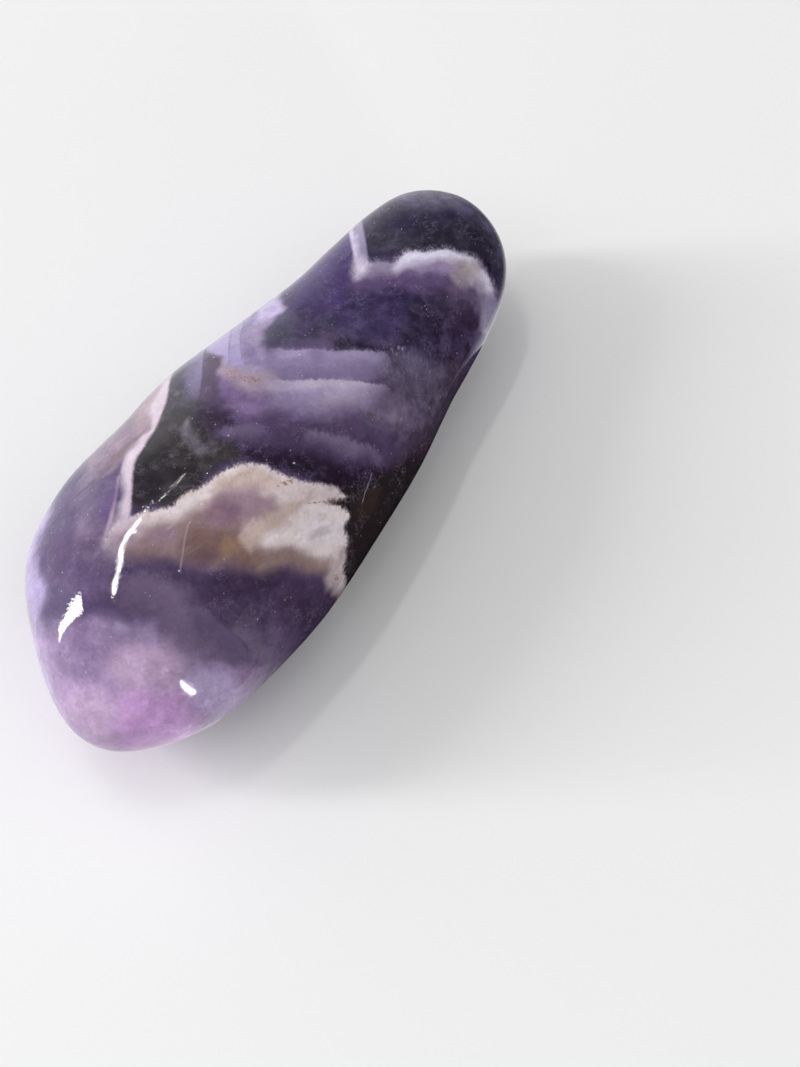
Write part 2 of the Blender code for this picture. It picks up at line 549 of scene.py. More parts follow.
# %% The waist
WAIST_ZONES = [
    # the pale cheek, its bright edge and its shade
    ((156, 140, 176), 0.3, 1.0, [
        (-2.2, 8.4), (-1.0, 10.3), (0.3, 10.6), (0.15, 9.3), (-0.4, 8.9), (-0.7, 7.4), (-0.3, 6.7),
        (-0.4, 5.2), (-2.2, 5.2),
    ]),
    ((194, 180, 220), 0.35, 0.95, [(-1.4, 10.4), (0.2, 10.6), (0.2, 9.2), (-0.6, 8.8), (-1.8, 8.2)]),
    ((130, 114, 154), 0.3, 0.8, [(-2.2, 7.2), (-1.3, 7.2), (-1.0, 5.6), (-1.6, 5.0), (-2.2, 5.4)]),
    # behind the upper band, left and right
    ((136, 120, 158), 0.9, 1.0, [(-0.8, 6.2), (5.8, 6.2), (5.2, 5.4), (5.6, 4.4), (-0.8, 4.4)]),
    ((124, 108, 146), 0.3, 0.8, [(0.8, 5.3), (5.4, 5.3), (5.8, 4.5), (0.4, 4.6)]),
    ((98, 90, 117), 0.8, 0.9, [(6.4, 6.4), (8.2, 6.4), (11, 5.8), (11.6, 4.6), (6.7, 4.5)]),
    # behind the lower band, its fade, and the mottled right
    ((134, 117, 154), 0.6, 1.0, [(-0.9, 4.3), (2.6, 4.3), (2.8, 2.8), (0, 2.9)]),
    ((172, 155, 188), 0.9, 0.95, [(3.0, 4.2), (5.0, 4.2), (5.5, 3.4), (4.8, 2.7), (2.8, 2.9)]),
    ((124, 106, 142), 0.6, 1.0, [
        (-2.4, 3.6), (-0.4, 3.1), (5.4, 3.0), (8.8, 3.2), (9.2, 1.8), (4, 2.0), (-3.4, 2.0),
    ]),
    ((110, 94, 126), 0.9, 1.0, [(7.0, 4.6), (9.6, 4.6), (10, 2.4), (8.8, 1.0), (5.8, 1.2), (6.8, 3.0)]),
    ((168, 150, 180), 0.5, 1.0, [(7.0, 2.8), (8.2, 2.9), (8.4, 1.8), (7.2, 1.6)]),
    ((106, 84, 110), 0.5, 0.7, [(7.4, 1.2), (8.8, 1.3), (9, 0.5), (7.8, 0.4)]),
    ((74, 60, 80), 0.8, 1.0, [
        (9.8, 5), (12, 6.6), (12.4, 3.4), (9.4, -1), (6.0, -3.6), (6.0, -1.8), (7.8, 0.0), (9.4, 2.2),
    ]),
    ((48, 34, 46), 0.6, 0.9, [(9.2, 0.4), (10.4, 1.0), (9.4, -1), (6.0, -3.6), (6.2, -1.8), (8, -0.6)]),
    # the foot of the apex, and its beige tip
    ((127, 104, 147), 0.5, 1.0, [(-3.4, 5.2), (-2.4, 4.4), (-0.8, 3.4), (-0.6, 2.6), (-3.3, 2.6)]),
    ((160, 144, 172), 0.25, 1.0, [
        (-2.8, 5.9), (-2.0, 5.9), (-1.0, 5.5), (-0.3, 5.0), (-0.4, 4.6), (-2.6, 4.7),
    ]),
    ((168, 149, 168), 0.45, 1.0, [
        (-3.4, 5.3), (-2.6, 5.1), (-1.4, 5.0), (-0.4, 5.0), (0.3, 4.6), (0.6, 3.6), (-0.95, 3.3),
        (-1.85, 3.75), (-2.4, 4.1), (-3.1, 4.6),
    ]),
    ((160, 138, 146), 0.12, 0.7, [
        (-4.5, 6.6), (-4.2, 6.5), (-3.6, 6.0), (-3.2, 5.4), (-2.7, 4.95), (-2.2, 4.75), (-2.6, 4.4),
        (-3.2, 4.9), (-3.7, 5.7), (-4.2, 6.2),
    ]),
    # the dark strip and the slate left of it
    ((84, 67, 96), 0.35, 1.0, [
        (-4.7, 7.4), (-4.0, 7.4), (-3.75, 6), (-3.5, 5.2), (-3.4, 4.4), (-3.2, 3.2), (-3.1, 2.2),
        (-4.8, 2.2), (-4.7, 3.6), (-4.55, 5),
    ]),
    ((82, 73, 104), 0.35, 1.0, [(-6.9, 5.8), (-5.1, 7), (-5.1, 3.5), (-5.3, 2.6), (-6.4, 3.2)]),
    ((150, 136, 180), 0.12, 0.9, [
        (-4.6, 6.9), (-5, 8), (-3, 10), (-1.9, 9.6), (-2.15, 5.2), (-2.8, 4.95), (-3.5, 5.8),
    ]),
    # the dark line below, and violet down to the great band
    ((90, 72, 105), 0.4, 1.0, [
        (-4.4, 2.2), (-3, 2.2), (0, 2.0), (4, 1.9), (6.4, 1.5), (8, 0.6), (8, 0.0), (5, 1.0), (0, 1.3),
        (-3, 1.5), (-4.6, 1.5),
    ]),
    ((78, 62, 94), 0.5, 1.0, [
        (-2.8, 1.3), (0.6, 1.6), (1.8, 1.2), (4.6, 1.3), (7.2, 0.0), (7.6, -1), (5.4, -1.6), (2, -0.6),
        (-1.4, -0.1), (-3, 0.4),
    ]),
    ((40, 28, 47), 0.5, 1.0, [
        (-1.8, 0.0), (0, 0.1), (2, -0.3), (6.4, -1.2), (7.4, -1.2), (5.0, -3.2), (3, -2.2), (0, -1.2),
        (-1.8, -0.7),
    ]),
    ((92, 76, 112), 0.4, 0.7, [(3.2, 0.7), (5, 0.5), (6.8, -0.4), (6.6, -1.1), (4.4, -0.4), (3.4, 0)]),
    ((50, 40, 57), 0.35, 0.9, [
        (-4.8, 3.1), (-4.2, 2.9), (-3.3, 2.1), (-2.3, 2.1), (-2.2, 1.7), (-3.4, 1.2), (-4.2, 1.5),
        (-4.8, 2.1),
    ]),
]
print("zones of the waist:", len(WAIST_ZONES))

# %% [markdown]
# ## Smoke
#
# Smoky quartz is brown and nearly black, and lies on both sides of the great white band. A few warmer and
# cooler patches keep it from being flat.

# %% Smoke on both sides of the great band
SMOKE_ZONES = [
    ((58, 53, 58), 0.35, 1.0, [
        (-7, 5.2), (-6.2, 5.4), (-5.2, 3.4), (-4.8, 2), (-3.4, 1), (-2.0, 0.6), (-1.6, -0.6), (-3, -1),
        (-4.4, -2.2), (-6, -3.6), (-8.6, -4.2), (-8.8, -1), (-7.6, 0.8), (-7, 3),
    ]),
    ((54, 48, 70), 0.5, 0.9, [(-7.2, 5.4), (-5.6, 5.6), (-5.4, 3.0), (-6.4, 2.2), (-7, 2.6)]),
    ((47, 41, 49), 0.5, 0.9, [(-8.4, -0.6), (-7.2, -0.3), (-6.2, -2), (-6.9, -3.4), (-8.5, -3.8)]),
    ((68, 63, 62), 0.6, 0.8, [(-6.4, 0.4), (-3.4, 0.6), (-2.6, -0.5), (-5, -1.2)]),
    ((124, 118, 130), 0.22, 0.8, [
        (-5.3, 2.1), (-5.0, 1.9), (-4.7, 1.1), (-4.1, 0.8), (-3.4, 0.5), (-2.9, -0.1), (-3.9, -0.2),
        (-4.5, 0.2), (-5.1, 0.6), (-5.5, 1.3),
    ]),
    ((43, 35, 38), 0.4, 1.0, [
        (4.3, -2.4), (6.4, -1.6), (8, -0.6), (9.6, -1), (6.6, -7), (4.8, -10), (4.0, -8.6), (3.6, -5),
        (3.2, -3.1),
    ]),
    ((62, 50, 46), 0.4, 0.7, [(5.2, -2.6), (6.6, -2), (6.2, -3.8), (5.2, -4.2)]),
]
print("zones of smoke:", len(SMOKE_ZONES))

# %% [markdown]
# ## The body and its left side
#
# Under the great band the stone is an even, dull violet. On its left side the sheets end at a flat angle,
# so more of each of them shows: pinkish grey, brown by the pale line, and violet. Along the left limb a pale
# lilac rim is painted light: the glow of light through and off the thin edge.

# %% The body under the great band, and its left side
BODY_ZONES = [
    ((84, 68, 98), 0.6, 1.0, [
        (-9.6, -6.4), (-4, -6.2), (0, -6.4), (3.6, -7.5), (4.8, -9.6), (2, -12), (-1, -14), (-4, -12.6),
        (-6, -11.8), (-9, -9.6), (-10, -8.6),
    ]),
    ((100, 84, 116), 0.6, 0.8, [
        (-7.4, -7.8), (-5.2, -8.2), (-4.4, -9.6), (-3.6, -11), (-1.2, -12.8), (-3.6, -12.4), (-6.4, -10.6),
    ]),
    ((92, 76, 108), 0.5, 0.8, [(-9, -7.4), (-7.2, -7.4), (-7, -9), (-8.8, -9.2)]),
    ((78, 64, 100), 0.4, 0.8, [(-5.0, -10.0), (-4.0, -9.8), (-3.6, -10.8), (-4.4, -11.3)]),
    ((79, 62, 91), 0.6, 1.0, [
        (-4.2, -7.4), (-1, -7.0), (3.4, -8.0), (3.8, -9.6), (1.4, -12), (-1.4, -12.2), (-3.4, -10.2),
    ]),
    ((62, 47, 72), 0.5, 0.8, [(-4.0, -7.3), (0, -7.2), (1.4, -8.0), (-0.8, -9.4), (-3.8, -9.4)]),
    ((66, 50, 74), 0.6, 0.8, [(1.2, -8.4), (3.8, -8.8), (3.4, -10.2), (1.6, -11.0), (0.6, -10.2)]),
    ((102, 85, 117), 0.7, 0.8, [
        (-3.4, -11.0), (-1.6, -10.6), (0.8, -10.8), (1.4, -12.4), (-1.4, -14), (-4, -13),
    ]),
    # the left side: pinkish grey, brown by the stripe, violet, and the dark below
    ((142, 121, 140), 0.25, 1.0, [
        (-10.4, 3.8), (-6.8, 5.8), (-6.8, 3), (-7.5, 1.1), (-8.9, -0.7), (-10.4, -1.9), (-11.6, -1.6),
        (-12.6, 0.8),
    ]),
    ((170, 148, 154), 0.25, 0.8, [
        (-7.5, 4.6), (-7.6, 2.6), (-8.3, 1.2), (-8.9, 1.6), (-8.4, 3), (-8.2, 4.2),
    ]),
    ((116, 94, 104), 0.18, 0.8, [
        (-8.0, 1.0), (-9.2, -0.7), (-10.4, -1.9), (-10.8, -1.5), (-9.5, -0.1), (-8.2, 1.4),
    ]),
    ((108, 90, 124), 0.8, 1.0, [
        (-15.6, -6), (-13, -0.4), (-10.8, -1.4), (-10.0, -6), (-12, -7), (-13.6, -8),
    ]),
    ((66, 42, 98), 0.6, 0.95, [
        (-13.6, -0.6), (-12.0, -1.8), (-11.9, -4.2), (-12.8, -6.6), (-14.8, -7.4), (-14.4, -5.0),
        (-13.8, -3.0),
    ]),
    # painted rim light along the left limb: the pale lilac glow of light through its thin edge
    ((182, 166, 212), 0.6, 0.80, [
        (-17, -2.0), (-14.3, -2.8), (-14.2, -4.6), (-14.5, -6.6), (-13.9, -8.4), (-13.8, -10.4),
        (-14.4, -13), (-17, -13),
    ]),
    ((158, 140, 182), 0.5, 0.9, [(-17, -8), (-17, -13), (-14.6, -12), (-14.9, -8)]),
    ((80, 56, 100), 0.7, 0.9, [(-13.6, -5.2), (-11.4, -4.6), (-10.4, -6.4), (-11.6, -7.4), (-13.6, -7.6)]),
    ((120, 101, 130), 0.6, 0.9, [
        (-11.6, -4.0), (-9.8, -4.4), (-8.9, -5.6), (-9.2, -7.2), (-10.6, -7.8), (-11.8, -6.4),
    ]),
    ((102, 84, 118), 0.6, 0.9, [
        (-12.4, -7.6), (-9.8, -6.6), (-8.8, -7.2), (-9.2, -9), (-10.8, -9.2), (-12.2, -8.6),
    ]),
    ((116, 94, 142), 0.35, 0.6, [(-9.5, -1.7), (-9.5, -4.4), (-9.9, -4.3), (-10.4, -3.0), (-10.1, -2.2)]),
]
print("zones of the body:", len(BODY_ZONES))

# %% [markdown]
# ## The lilac base
#
# The broad end is the palest violet, with light in it. As the stone is made opaque, that light is painted:
# large soft zones of lilac and pink. Then all the zones are brushed over the plain ground, from the cap to
# the base.

# %% The base, and all soft zones brushed on
GROUND = (86, 70, 106)
BASE_ZONES = [
    ((152, 129, 166), 1.4, 1.0, [
        (-17, -11.2), (-13.4, -11.0), (-12, -10.8), (-9.6, -10.8), (-7, -11.8), (-5.6, -13.0), (-1.4, -13),
        (0, -13.4), (-2, -18), (-8, -21), (-15, -20), (-17, -12),
    ]),
    ((148, 128, 164), 1.0, 0.9, [
        (-10.6, -10.4), (-8.4, -10.2), (-6.4, -11.0), (-5, -12.0), (-3, -12.6), (-5, -13.6), (-9, -11.6),
        (-11, -10.6),
    ]),
    ((132, 110, 148), 0.8, 0.8, [
        (-13.4, -10.8), (-11, -10.8), (-9.8, -13.4), (-11.6, -14.4), (-13, -12.8),
    ]),
    ((186, 160, 191), 0.9, 0.9, [
        (-9.6, -12.2), (-7, -11.9), (-5.2, -12.6), (-4.4, -14.0), (-6.6, -15), (-9, -14.4),
    ]),
    ((185, 166, 205), 0.7, 0.9, [(-4.8, -13), (-1.4, -13.6), (-2.6, -16.4), (-4.8, -15.6)]),
    ((202, 160, 213), 1.0, 1.0, [
        (-9.6, -15.0), (-6.6, -14.6), (-5, -15.0), (-4.0, -16.8), (-6, -19), (-8.8, -19),
    ]),
    ((189, 161, 195), 1.0, 0.9, [(-12.6, -14), (-9.4, -14.4), (-9, -18.8), (-12, -17.4)]),
    ((182, 162, 204), 0.5, 0.8, [
        (-15.6, -11), (-14.1, -11), (-13.4, -14.3), (-12.4, -16.6), (-14.6, -18),
    ]),
    ((160, 146, 180), 0.2, 0.8, [(-9.4, -10.2), (-8.8, -10.3), (-8.6, -11.1), (-9.2, -11.2)]),
]
SOFT_ZONES = CAP_ZONES + NECK_ZONES + WAIST_ZONES + SMOKE_ZONES + BODY_ZONES + BASE_ZONES
ground_paint = brush(np.tile(tone(*GROUND), (len(spots), 1)), uneven_spots, SOFT_ZONES)
print("soft zones:", len(SOFT_ZONES))

# %% [markdown]
# ## Blotches and veils
#
# Inside a zone the colour breaks up. Dark blotches are where smoky colour sits deeper, and pale veils are
# healed cracks full of tiny bubbles. Each has its own wash: a colour, and how much of the place it takes.
# The finish turns that amount into separate spots with noise.

# %% Where blotches and veils gather
CAP_PLACE = [(5.2, 13), (6, 17), (9, 18.4), (14, 17.6), (15.6, 12), (14.4, 11.6), (13, 13), (8, 12.9)]
NECK_PLACE = [(0.2, 9.6), (4.8, 11), (9, 10.8), (12.6, 10.8), (13.6, 8), (12, 5.4), (9, 6.6), (0, 6.7)]
NECK_RIGHT_PLACE = [(8.6, 10.2), (12.6, 10.4), (13.2, 8), (12, 5.6), (9, 6.6), (8, 8)]
WAIST_RIGHT_PLACE = [(5.4, 6.4), (10.4, 6.2), (11.4, 4.6), (9, 0.6), (6.2, 0.4), (5.2, 2.2), (7.0, 4.2)]
LOW_PLACE = [(-3.4, 2.1), (3, 1.9), (8, 1), (7.6, -1.4), (4.6, -2.4), (-1.6, -0.6), (-3.4, 0.8)]
SMOKE_PLACE = [
    (-7, 5), (-5.2, 4), (-2.4, 0.6), (-3.4, -1.4), (-6, -3.4), (-8.4, -3.8), (-8.6, -1), (-7, 3),
]
BODY_PLACE = [
    (-10.4, -6.8), (-3, -6.9), (3.4, -8.2), (4.4, -9.8), (1.2, -12.6), (-1, -14), (-5, -12.2),
    (-9.6, -9.6),
]
LEFT_PLACE = [
    (-15, -5), (-12, 0.4), (-8.6, 4.6), (-9, 0), (-10.6, -5), (-10, -7.6), (-12.4, -9), (-14.6, -9),
]
BASE_PLACE = [(-15, -10), (-10, -9.8), (-6, -12.4), (-1, -13.8), (-3, -17.4), (-8, -19.4), (-14, -17)]

# %% Their colours, softness in mm, amounts and places
BLOTCHES = [
    ((34, 30, 40), 0.6, 0.55, CAP_PLACE),
    ((40, 31, 58), 0.6, 0.50, NECK_PLACE),
    ((36, 25, 44), 0.6, 0.60, NECK_RIGHT_PLACE),
    ((58, 52, 68), 0.5, 0.60, WAIST_RIGHT_PLACE),
    ((44, 33, 56), 0.4, 0.30, LOW_PLACE),
    ((36, 34, 39), 0.4, 0.50, SMOKE_PLACE),
    ((54, 41, 68), 0.6, 0.40, BODY_PLACE),
    ((82, 66, 100), 0.8, 0.45, LEFT_PLACE),
    ((140, 120, 160), 0.8, 0.12, BASE_PLACE),
]
VEILS = [
    ((96, 90, 108), 0.6, 0.35, CAP_PLACE),
    ((104, 94, 134), 0.6, 0.40, NECK_PLACE),
    ((124, 112, 138), 0.5, 0.60, WAIST_RIGHT_PLACE),
    ((108, 93, 132), 0.4, 0.30, LOW_PLACE),
    ((98, 93, 98), 0.4, 0.35, SMOKE_PLACE),
    ((104, 88, 124), 0.6, 0.35, BODY_PLACE),
    ((122, 104, 144), 0.8, 0.28, LEFT_PLACE),
    ((196, 174, 206), 0.8, 0.24, BASE_PLACE),
]


def wash(points, places):
    """Colour and amount of what gathers in places, as four numbers a point."""
    paint = np.tile(tone(*places[0][0]), (len(points), 1))
    amount = np.zeros(len(points))
    for colour, softness, strength, outline in places:
        share = share_inside(points, outline, softness)
        paint = paint * (1 - share[:, None]) + tone(*colour) * share[:, None]
        amount = amount * (1 - share) + strength * share
    return np.column_stack([paint, amount])


blotch_wash = wash(uneven_spots, BLOTCHES)
veil_wash = wash(uneven_spots, VEILS)
print("places of blotches:", len(BLOTCHES), "and of veils:", len(VEILS))

# %% [markdown]
# ## Where rust settled
#
# Water carried iron into the open joints between the crystals, so rust lies along a few edges of the milk.
# Only how much of a place it takes is kept here. The finish breaks that up into crumbs.

# %% Where rust settled: amount, softness in mm, and outline
RUST_PLACES = [
    (0.50, 0.12, [
        (-3.3, 5.3), (-2.4, 4.8), (-0.6, 4.75), (-0.7, 4.3), (-1.6, 4.0), (-2.6, 4.3), (-3.4, 5.0),
    ]),
    (0.48, 0.10, [(-4.5, 6.6), (-4.2, 6.5), (-3.3, 5.4), (-3.2, 5.0), (-3.5, 5.2), (-4.2, 6.1)]),
    (0.56, 0.10, [(0.3, -1.9), (1.4, -1.7), (1.5, -2.3), (0.4, -2.4)]),
    (0.72, 0.10, [(2.0, -3.15), (4.2, -3.0), (4.2, -3.2), (2.0, -3.4)]),
    (0.60, 0.10, [(3.7, -7.6), (4.1, -7.6), (4.2, -8.2), (3.8, -8.2)]),
    (0.36, 0.20, [(-9.2, -3.9), (-8.5, -3.9), (-8.5, -4.8), (-9.2, -4.8)]),
]
rust_amount = np.zeros(len(spots))
for amount, softness, outline in RUST_PLACES:
    rust_amount = np.maximum(rust_amount, amount * share_inside(spots, outline, softness))
print("places of rust:", len(RUST_PLACES))

# %% [markdown]
# ## The crisp bands
#
# Milky quartz grew in pulses. Each pulse starts at a sharp face, which is the old crystal tips, and thins
# out behind it. So a band is a line, its face, and a few points far behind, its back, which close the
# outline. All measures are in millimetres:
#
# - soft is how wide the edge turns, and ragged is how far noise frays it.
# - fade says how far behind the face the milk starts to thin, and where it is gone.
# - reach is a soft outline that the milk doesn't leave, and thin lists places where there is less of it.
# - zones are soft colours laid in the milk, and rim is a paler edge: its colour, width and strength.
# - frost is how far loose crystals lie outside the edge, and grit how far inside it dark grains lie.
# - sparse leaves only the densest frost, and streaks are leaning stains: their colour and strength.

# %% Crisp bands of the cap and the waist
STRIPS_REACH = [
    (-5.6, 7.4), (-4.7, 6.75), (-4.2, 6.35), (-3.5, 5.7), (-3.0, 5.2), (-1.4, 5.0), (-1.4, 11), (-5.6, 10),
]
UPPER_BANDS = {
    "cap_glass": {
        "face": [(5.2, 16.2), (5.4, 15.3), (5.66, 13.85), (5.8, 12.8), (5.75, 12.2)],
        "back": [(5.3, 12.4), (5.0, 13.6), (4.9, 15.4)],
        "colour": (148, 138, 170), "soft": 0.10, "ragged": 0.03,
    },
    "cap_line": {
        "face": [(4.3, 15.6), (4.55, 14.6), (4.75, 13.6), (4.95, 12.4), (5.15, 11.8)],
        "back": [(5.9, 11.8), (5.75, 12.6), (5.6, 14), (5.5, 15.8)],
        "colour": (204, 192, 222), "soft": 0.12, "ragged": 0.05, "fade": (0.12, 0.60),
    },
    "cap_corner": {
        "face": [
            (4.95, 12.7), (5.4, 12.9), (5.8, 12.5), (5.65, 12.0), (5.3, 11.5), (4.9, 11.2), (4.85, 12.0),
        ],
        "back": [],
        "colour": (196, 182, 204), "soft": 0.40, "ragged": 0.20,
    },
    "cap_band": {
        "face": [
            (5.2, 12.1), (5.75, 12.4), (6.4, 12.55), (7.0, 12.5), (7.4, 12.4), (7.8, 12.75), (8.2, 13.15),
            (8.85, 13.25), (9.4, 13.15), (10.0, 13.35), (10.9, 13.4), (11.4, 13.2), (12.1, 13.05),
            (12.95, 12.85), (12.95, 12.4), (13.3, 12.1), (13.75, 11.6), (13.95, 11.0), (14.2, 10.5),
            (14.3, 9.7), (14.1, 8.0),
        ],
        "back": [(13.0, 8.0), (12, 9.6), (5.0, 9.8)],
        "colour": (228, 220, 242), "soft": 0.16, "ragged": 0.20, "frost": 0.5, "fade": (0.25, 1.1),
        "thin": [
            (0.7, 0.5, [(5.4, 10), (5.6, 13), (7.5, 13), (7.5, 10)]),
            (0.5, 0.5, [(13.0, 10.4), (15, 10.4), (15, 7), (13, 7)]),
        ],
        "zones": [
            ((186, 173, 176), 0.35, 0.9, [
                (11.4, 12.6), (12.8, 12.7), (13.3, 11.8), (12.6, 11.2), (11.4, 11.8),
            ]),
            ((176, 168, 205), 0.3, 1.0, [(13.8, 11.2), (14.8, 11.2), (14.8, 7.4), (13.8, 7.4)]),
        ],
    },
    "waist_strip_middle": {
        "face": [(-3.0, 9.0), (-3.0, 7.4), (-2.95, 6.2), (-2.85, 4.6)],
        "back": [(-3.4, 4.4), (-4.6, 5.4), (-5.4, 6.6), (-5, 8)],
        "colour": (176, 162, 206), "soft": 0.06, "ragged": 0.05, "fade": (0.8, 2.4),
        "reach": (0.2, STRIPS_REACH),
    },
    "waist_strip_right": {
        "face": [
            (-2.1, 9.6), (-2.22, 8.1), (-2.34, 7.5), (-2.25, 6.9), (-2.1, 5.8), (-1.7, 5.2), (-1.2, 4.6),
        ],
        "back": [(-2.6, 4.4), (-2.84, 6.0), (-2.88, 7.4), (-2.88, 9.2)],
        "colour": (166, 152, 192), "soft": 0.06, "ragged": 0.04, "fade": (0.35, 1.2),
        "reach": (0.3, STRIPS_REACH),
    },
    "waist_strip_left": {
        "face": [(-4.6, 7.4), (-4.6, 6.4), (-4.55, 5.5), (-4.5, 4.1), (-4.65, 3.0), (-4.85, 2.0)],
        "back": [(-5.6, 2.0), (-6.0, 4), (-6.2, 6.2)],
        "colour": (140, 130, 166), "soft": 0.08, "ragged": 0.05, "fade": (0.1, 1.2),
        "reach": (1.1, [(-7, 9), (-4, 9), (-4, 3.9), (-7, 3.9)]),
    },
    "waist_band_high": {
        "face": [
            (-1.6, 6.5), (-0.3, 6.55), (0.45, 6.6), (0.65, 6.42), (1.4, 6.42), (2.2, 6.5), (3.1, 6.5),
            (3.3, 6.35), (4.4, 6.4), (5.6, 6.4), (7.4, 6.4),
        ],
        "back": [(7.4, 4.2), (-1.6, 4.2)],
        "colour": (152, 138, 176), "soft": 0.09, "ragged": 0.16, "frost": 0.30, "fade": (0.3, 2.1),
        "zones": [
            ((172, 160, 197), 0.15, 0.9, [(0.4, 6.7), (2.3, 6.7), (2.2, 5.9), (0.5, 5.8)]),
            ((144, 128, 165), 0.35, 0.8, [(2.3, 6.7), (3.2, 6.7), (3.1, 4.6), (2.3, 4.6)]),
            ((166, 153, 188), 0.3, 0.8, [(3.8, 6.6), (6.6, 6.6), (6.4, 5.7), (4.0, 5.8)]),
        ],
        "reach": (1.2, [(-0.7, 7.4), (7.4, 7.4), (6.2, 5.2), (6.8, 3), (-0.7, 3)]),
    },
    "waist_tuft": {
        "face": [
            (5.8, 6.6), (6.8, 6.75), (7.3, 6.85), (7.7, 7.1), (8.3, 6.9), (8.7, 6.5), (9.6, 6.5),
            (10.4, 5.9), (10.2, 5.0), (9.2, 4.6), (8.2, 4.8), (7.4, 4.2), (6.4, 4.4), (5.8, 5.0),
        ],
        "back": [],
        "colour": (136, 127, 158), "soft": 0.35, "ragged": 0.5, "frost": 0.5, "sparse": (0.50, 0.74),
        "zones": [((172, 160, 190), 0.2, 1.0, [(7.4, 6.7), (8.2, 6.9), (8.3, 6.0), (7.5, 6.0)])],
    },
    "waist_band_low": {
        "face": [
            (-1.4, 4.3), (-0.4, 4.38), (0.3, 4.4), (1.2, 4.4), (2.4, 4.47), (3.6, 4.5), (5.0, 4.42),
            (6.0, 4.3), (7.6, 4.1),
        ],
        "back": [(7.8, 1.4), (-1.4, 1.6)],
        "colour": (182, 168, 204), "soft": 0.07, "ragged": 0.13, "frost": 0.18, "fade": (0.30, 2.1),
        "reach": (1.3, [(-0.1, 5.4), (7.2, 5.4), (6.0, 3.4), (6.6, 1), (-0.1, 1)]),
        "zones": [
            ((196, 184, 208), 0.2, 0.9, [(0.0, 4.7), (5.8, 4.8), (5.8, 4.0), (0.6, 3.9)]),
            ((152, 136, 170), 0.2, 0.8, [(0.2, 3.55), (4.0, 3.5), (4.0, 3.25), (0.2, 3.3)]),
            ((192, 176, 196), 0.6, 0.85, [(2.6, 3.5), (5.0, 3.6), (5.4, 2.7), (3.0, 2.6)]),
        ],
    },
    "low_puff_left": {
        "face": [(-3.6, 1.2), (-2.2, 1.6), (-1.2, 1.65), (-0.5, 1.5), (0.6, 1.1)],
        "back": [(0.6, -0.2), (-3.2, -0.2)],
        "colour": (116, 102, 132), "soft": 0.25, "ragged": 0.45, "frost": 0.3, "fade": (0.0, 1.1),
        "reach": (0.8, [(-3.0, 2), (-0.3, 2), (-0.3, -0.5), (-3.0, -0.5)]),
    },
    "low_puff_right": {
        "face": [
            (1.6, 0.9), (2.1, 1.3), (2.9, 1.2), (3.8, 1.0), (4.7, 0.9), (5.0, 0.6), (5.8, 0.5), (6.5, 0.1),
            (6.9, -0.5),
        ],
        "back": [(6.2, -1.3), (4.2, -0.6), (1.8, -0.2)],
        "colour": (128, 114, 144), "soft": 0.25, "ragged": 0.45, "frost": 0.3, "fade": (0.0, 1.1),
        "reach": (0.5, [(1.9, 2), (5.2, 2), (7.0, 0), (6.2, -1.4), (4.2, -0.6), (2.0, -0.4)]),
    },
}
print("bands of the cap and the waist:", len(UPPER_BANDS))

# %% [markdown]
# ## The great band
#
# One pulse of milk was far thicker than the others. Its face is the zigzag that gives the stone its
# character, so it has the most points, and its inside goes from cream at the crest to tan below. Two faint
# veils hang under it, and a thin line of the same milk runs up the left side, with a fainter one beside it.

# %% The face of the great band, from left to right
GREAT_BAND_TOP = [
    (-10.4, -6.9), (-9.6, -4.6), (-8.6, -4.15), (-7.4, -3.75), (-6.4, -3.6), (-5.8, -3.4), (-5.4, -2.9),
    (-5.0, -2.55), (-4.2, -2.3), (-3.7, -1.95), (-3.1, -1.45), (-2.4, -1.1), (-1.9, -0.85), (-1.0, -0.85),
    (-0.1, -0.95), (0.05, -1.25), (0.8, -1.5), (1.3, -1.72), (2.0, -1.93), (2.8, -2.05), (3.4, -2.15),
    (4.0, -2.15), (4.2, -2.5), (4.65, -2.86), (4.1, -3.03), (3.2, -3.15), (4.1, -3.42), (4.85, -3.8),
    (4.55, -4.4), (4.4, -4.8), (4.65, -5.3), (4.62, -5.8), (4.5, -6.5), (4.4, -7.3), (4.5, -8.2),
    (4.55, -10.4),
]
print("points of the great band's face:", len(GREAT_BAND_TOP))

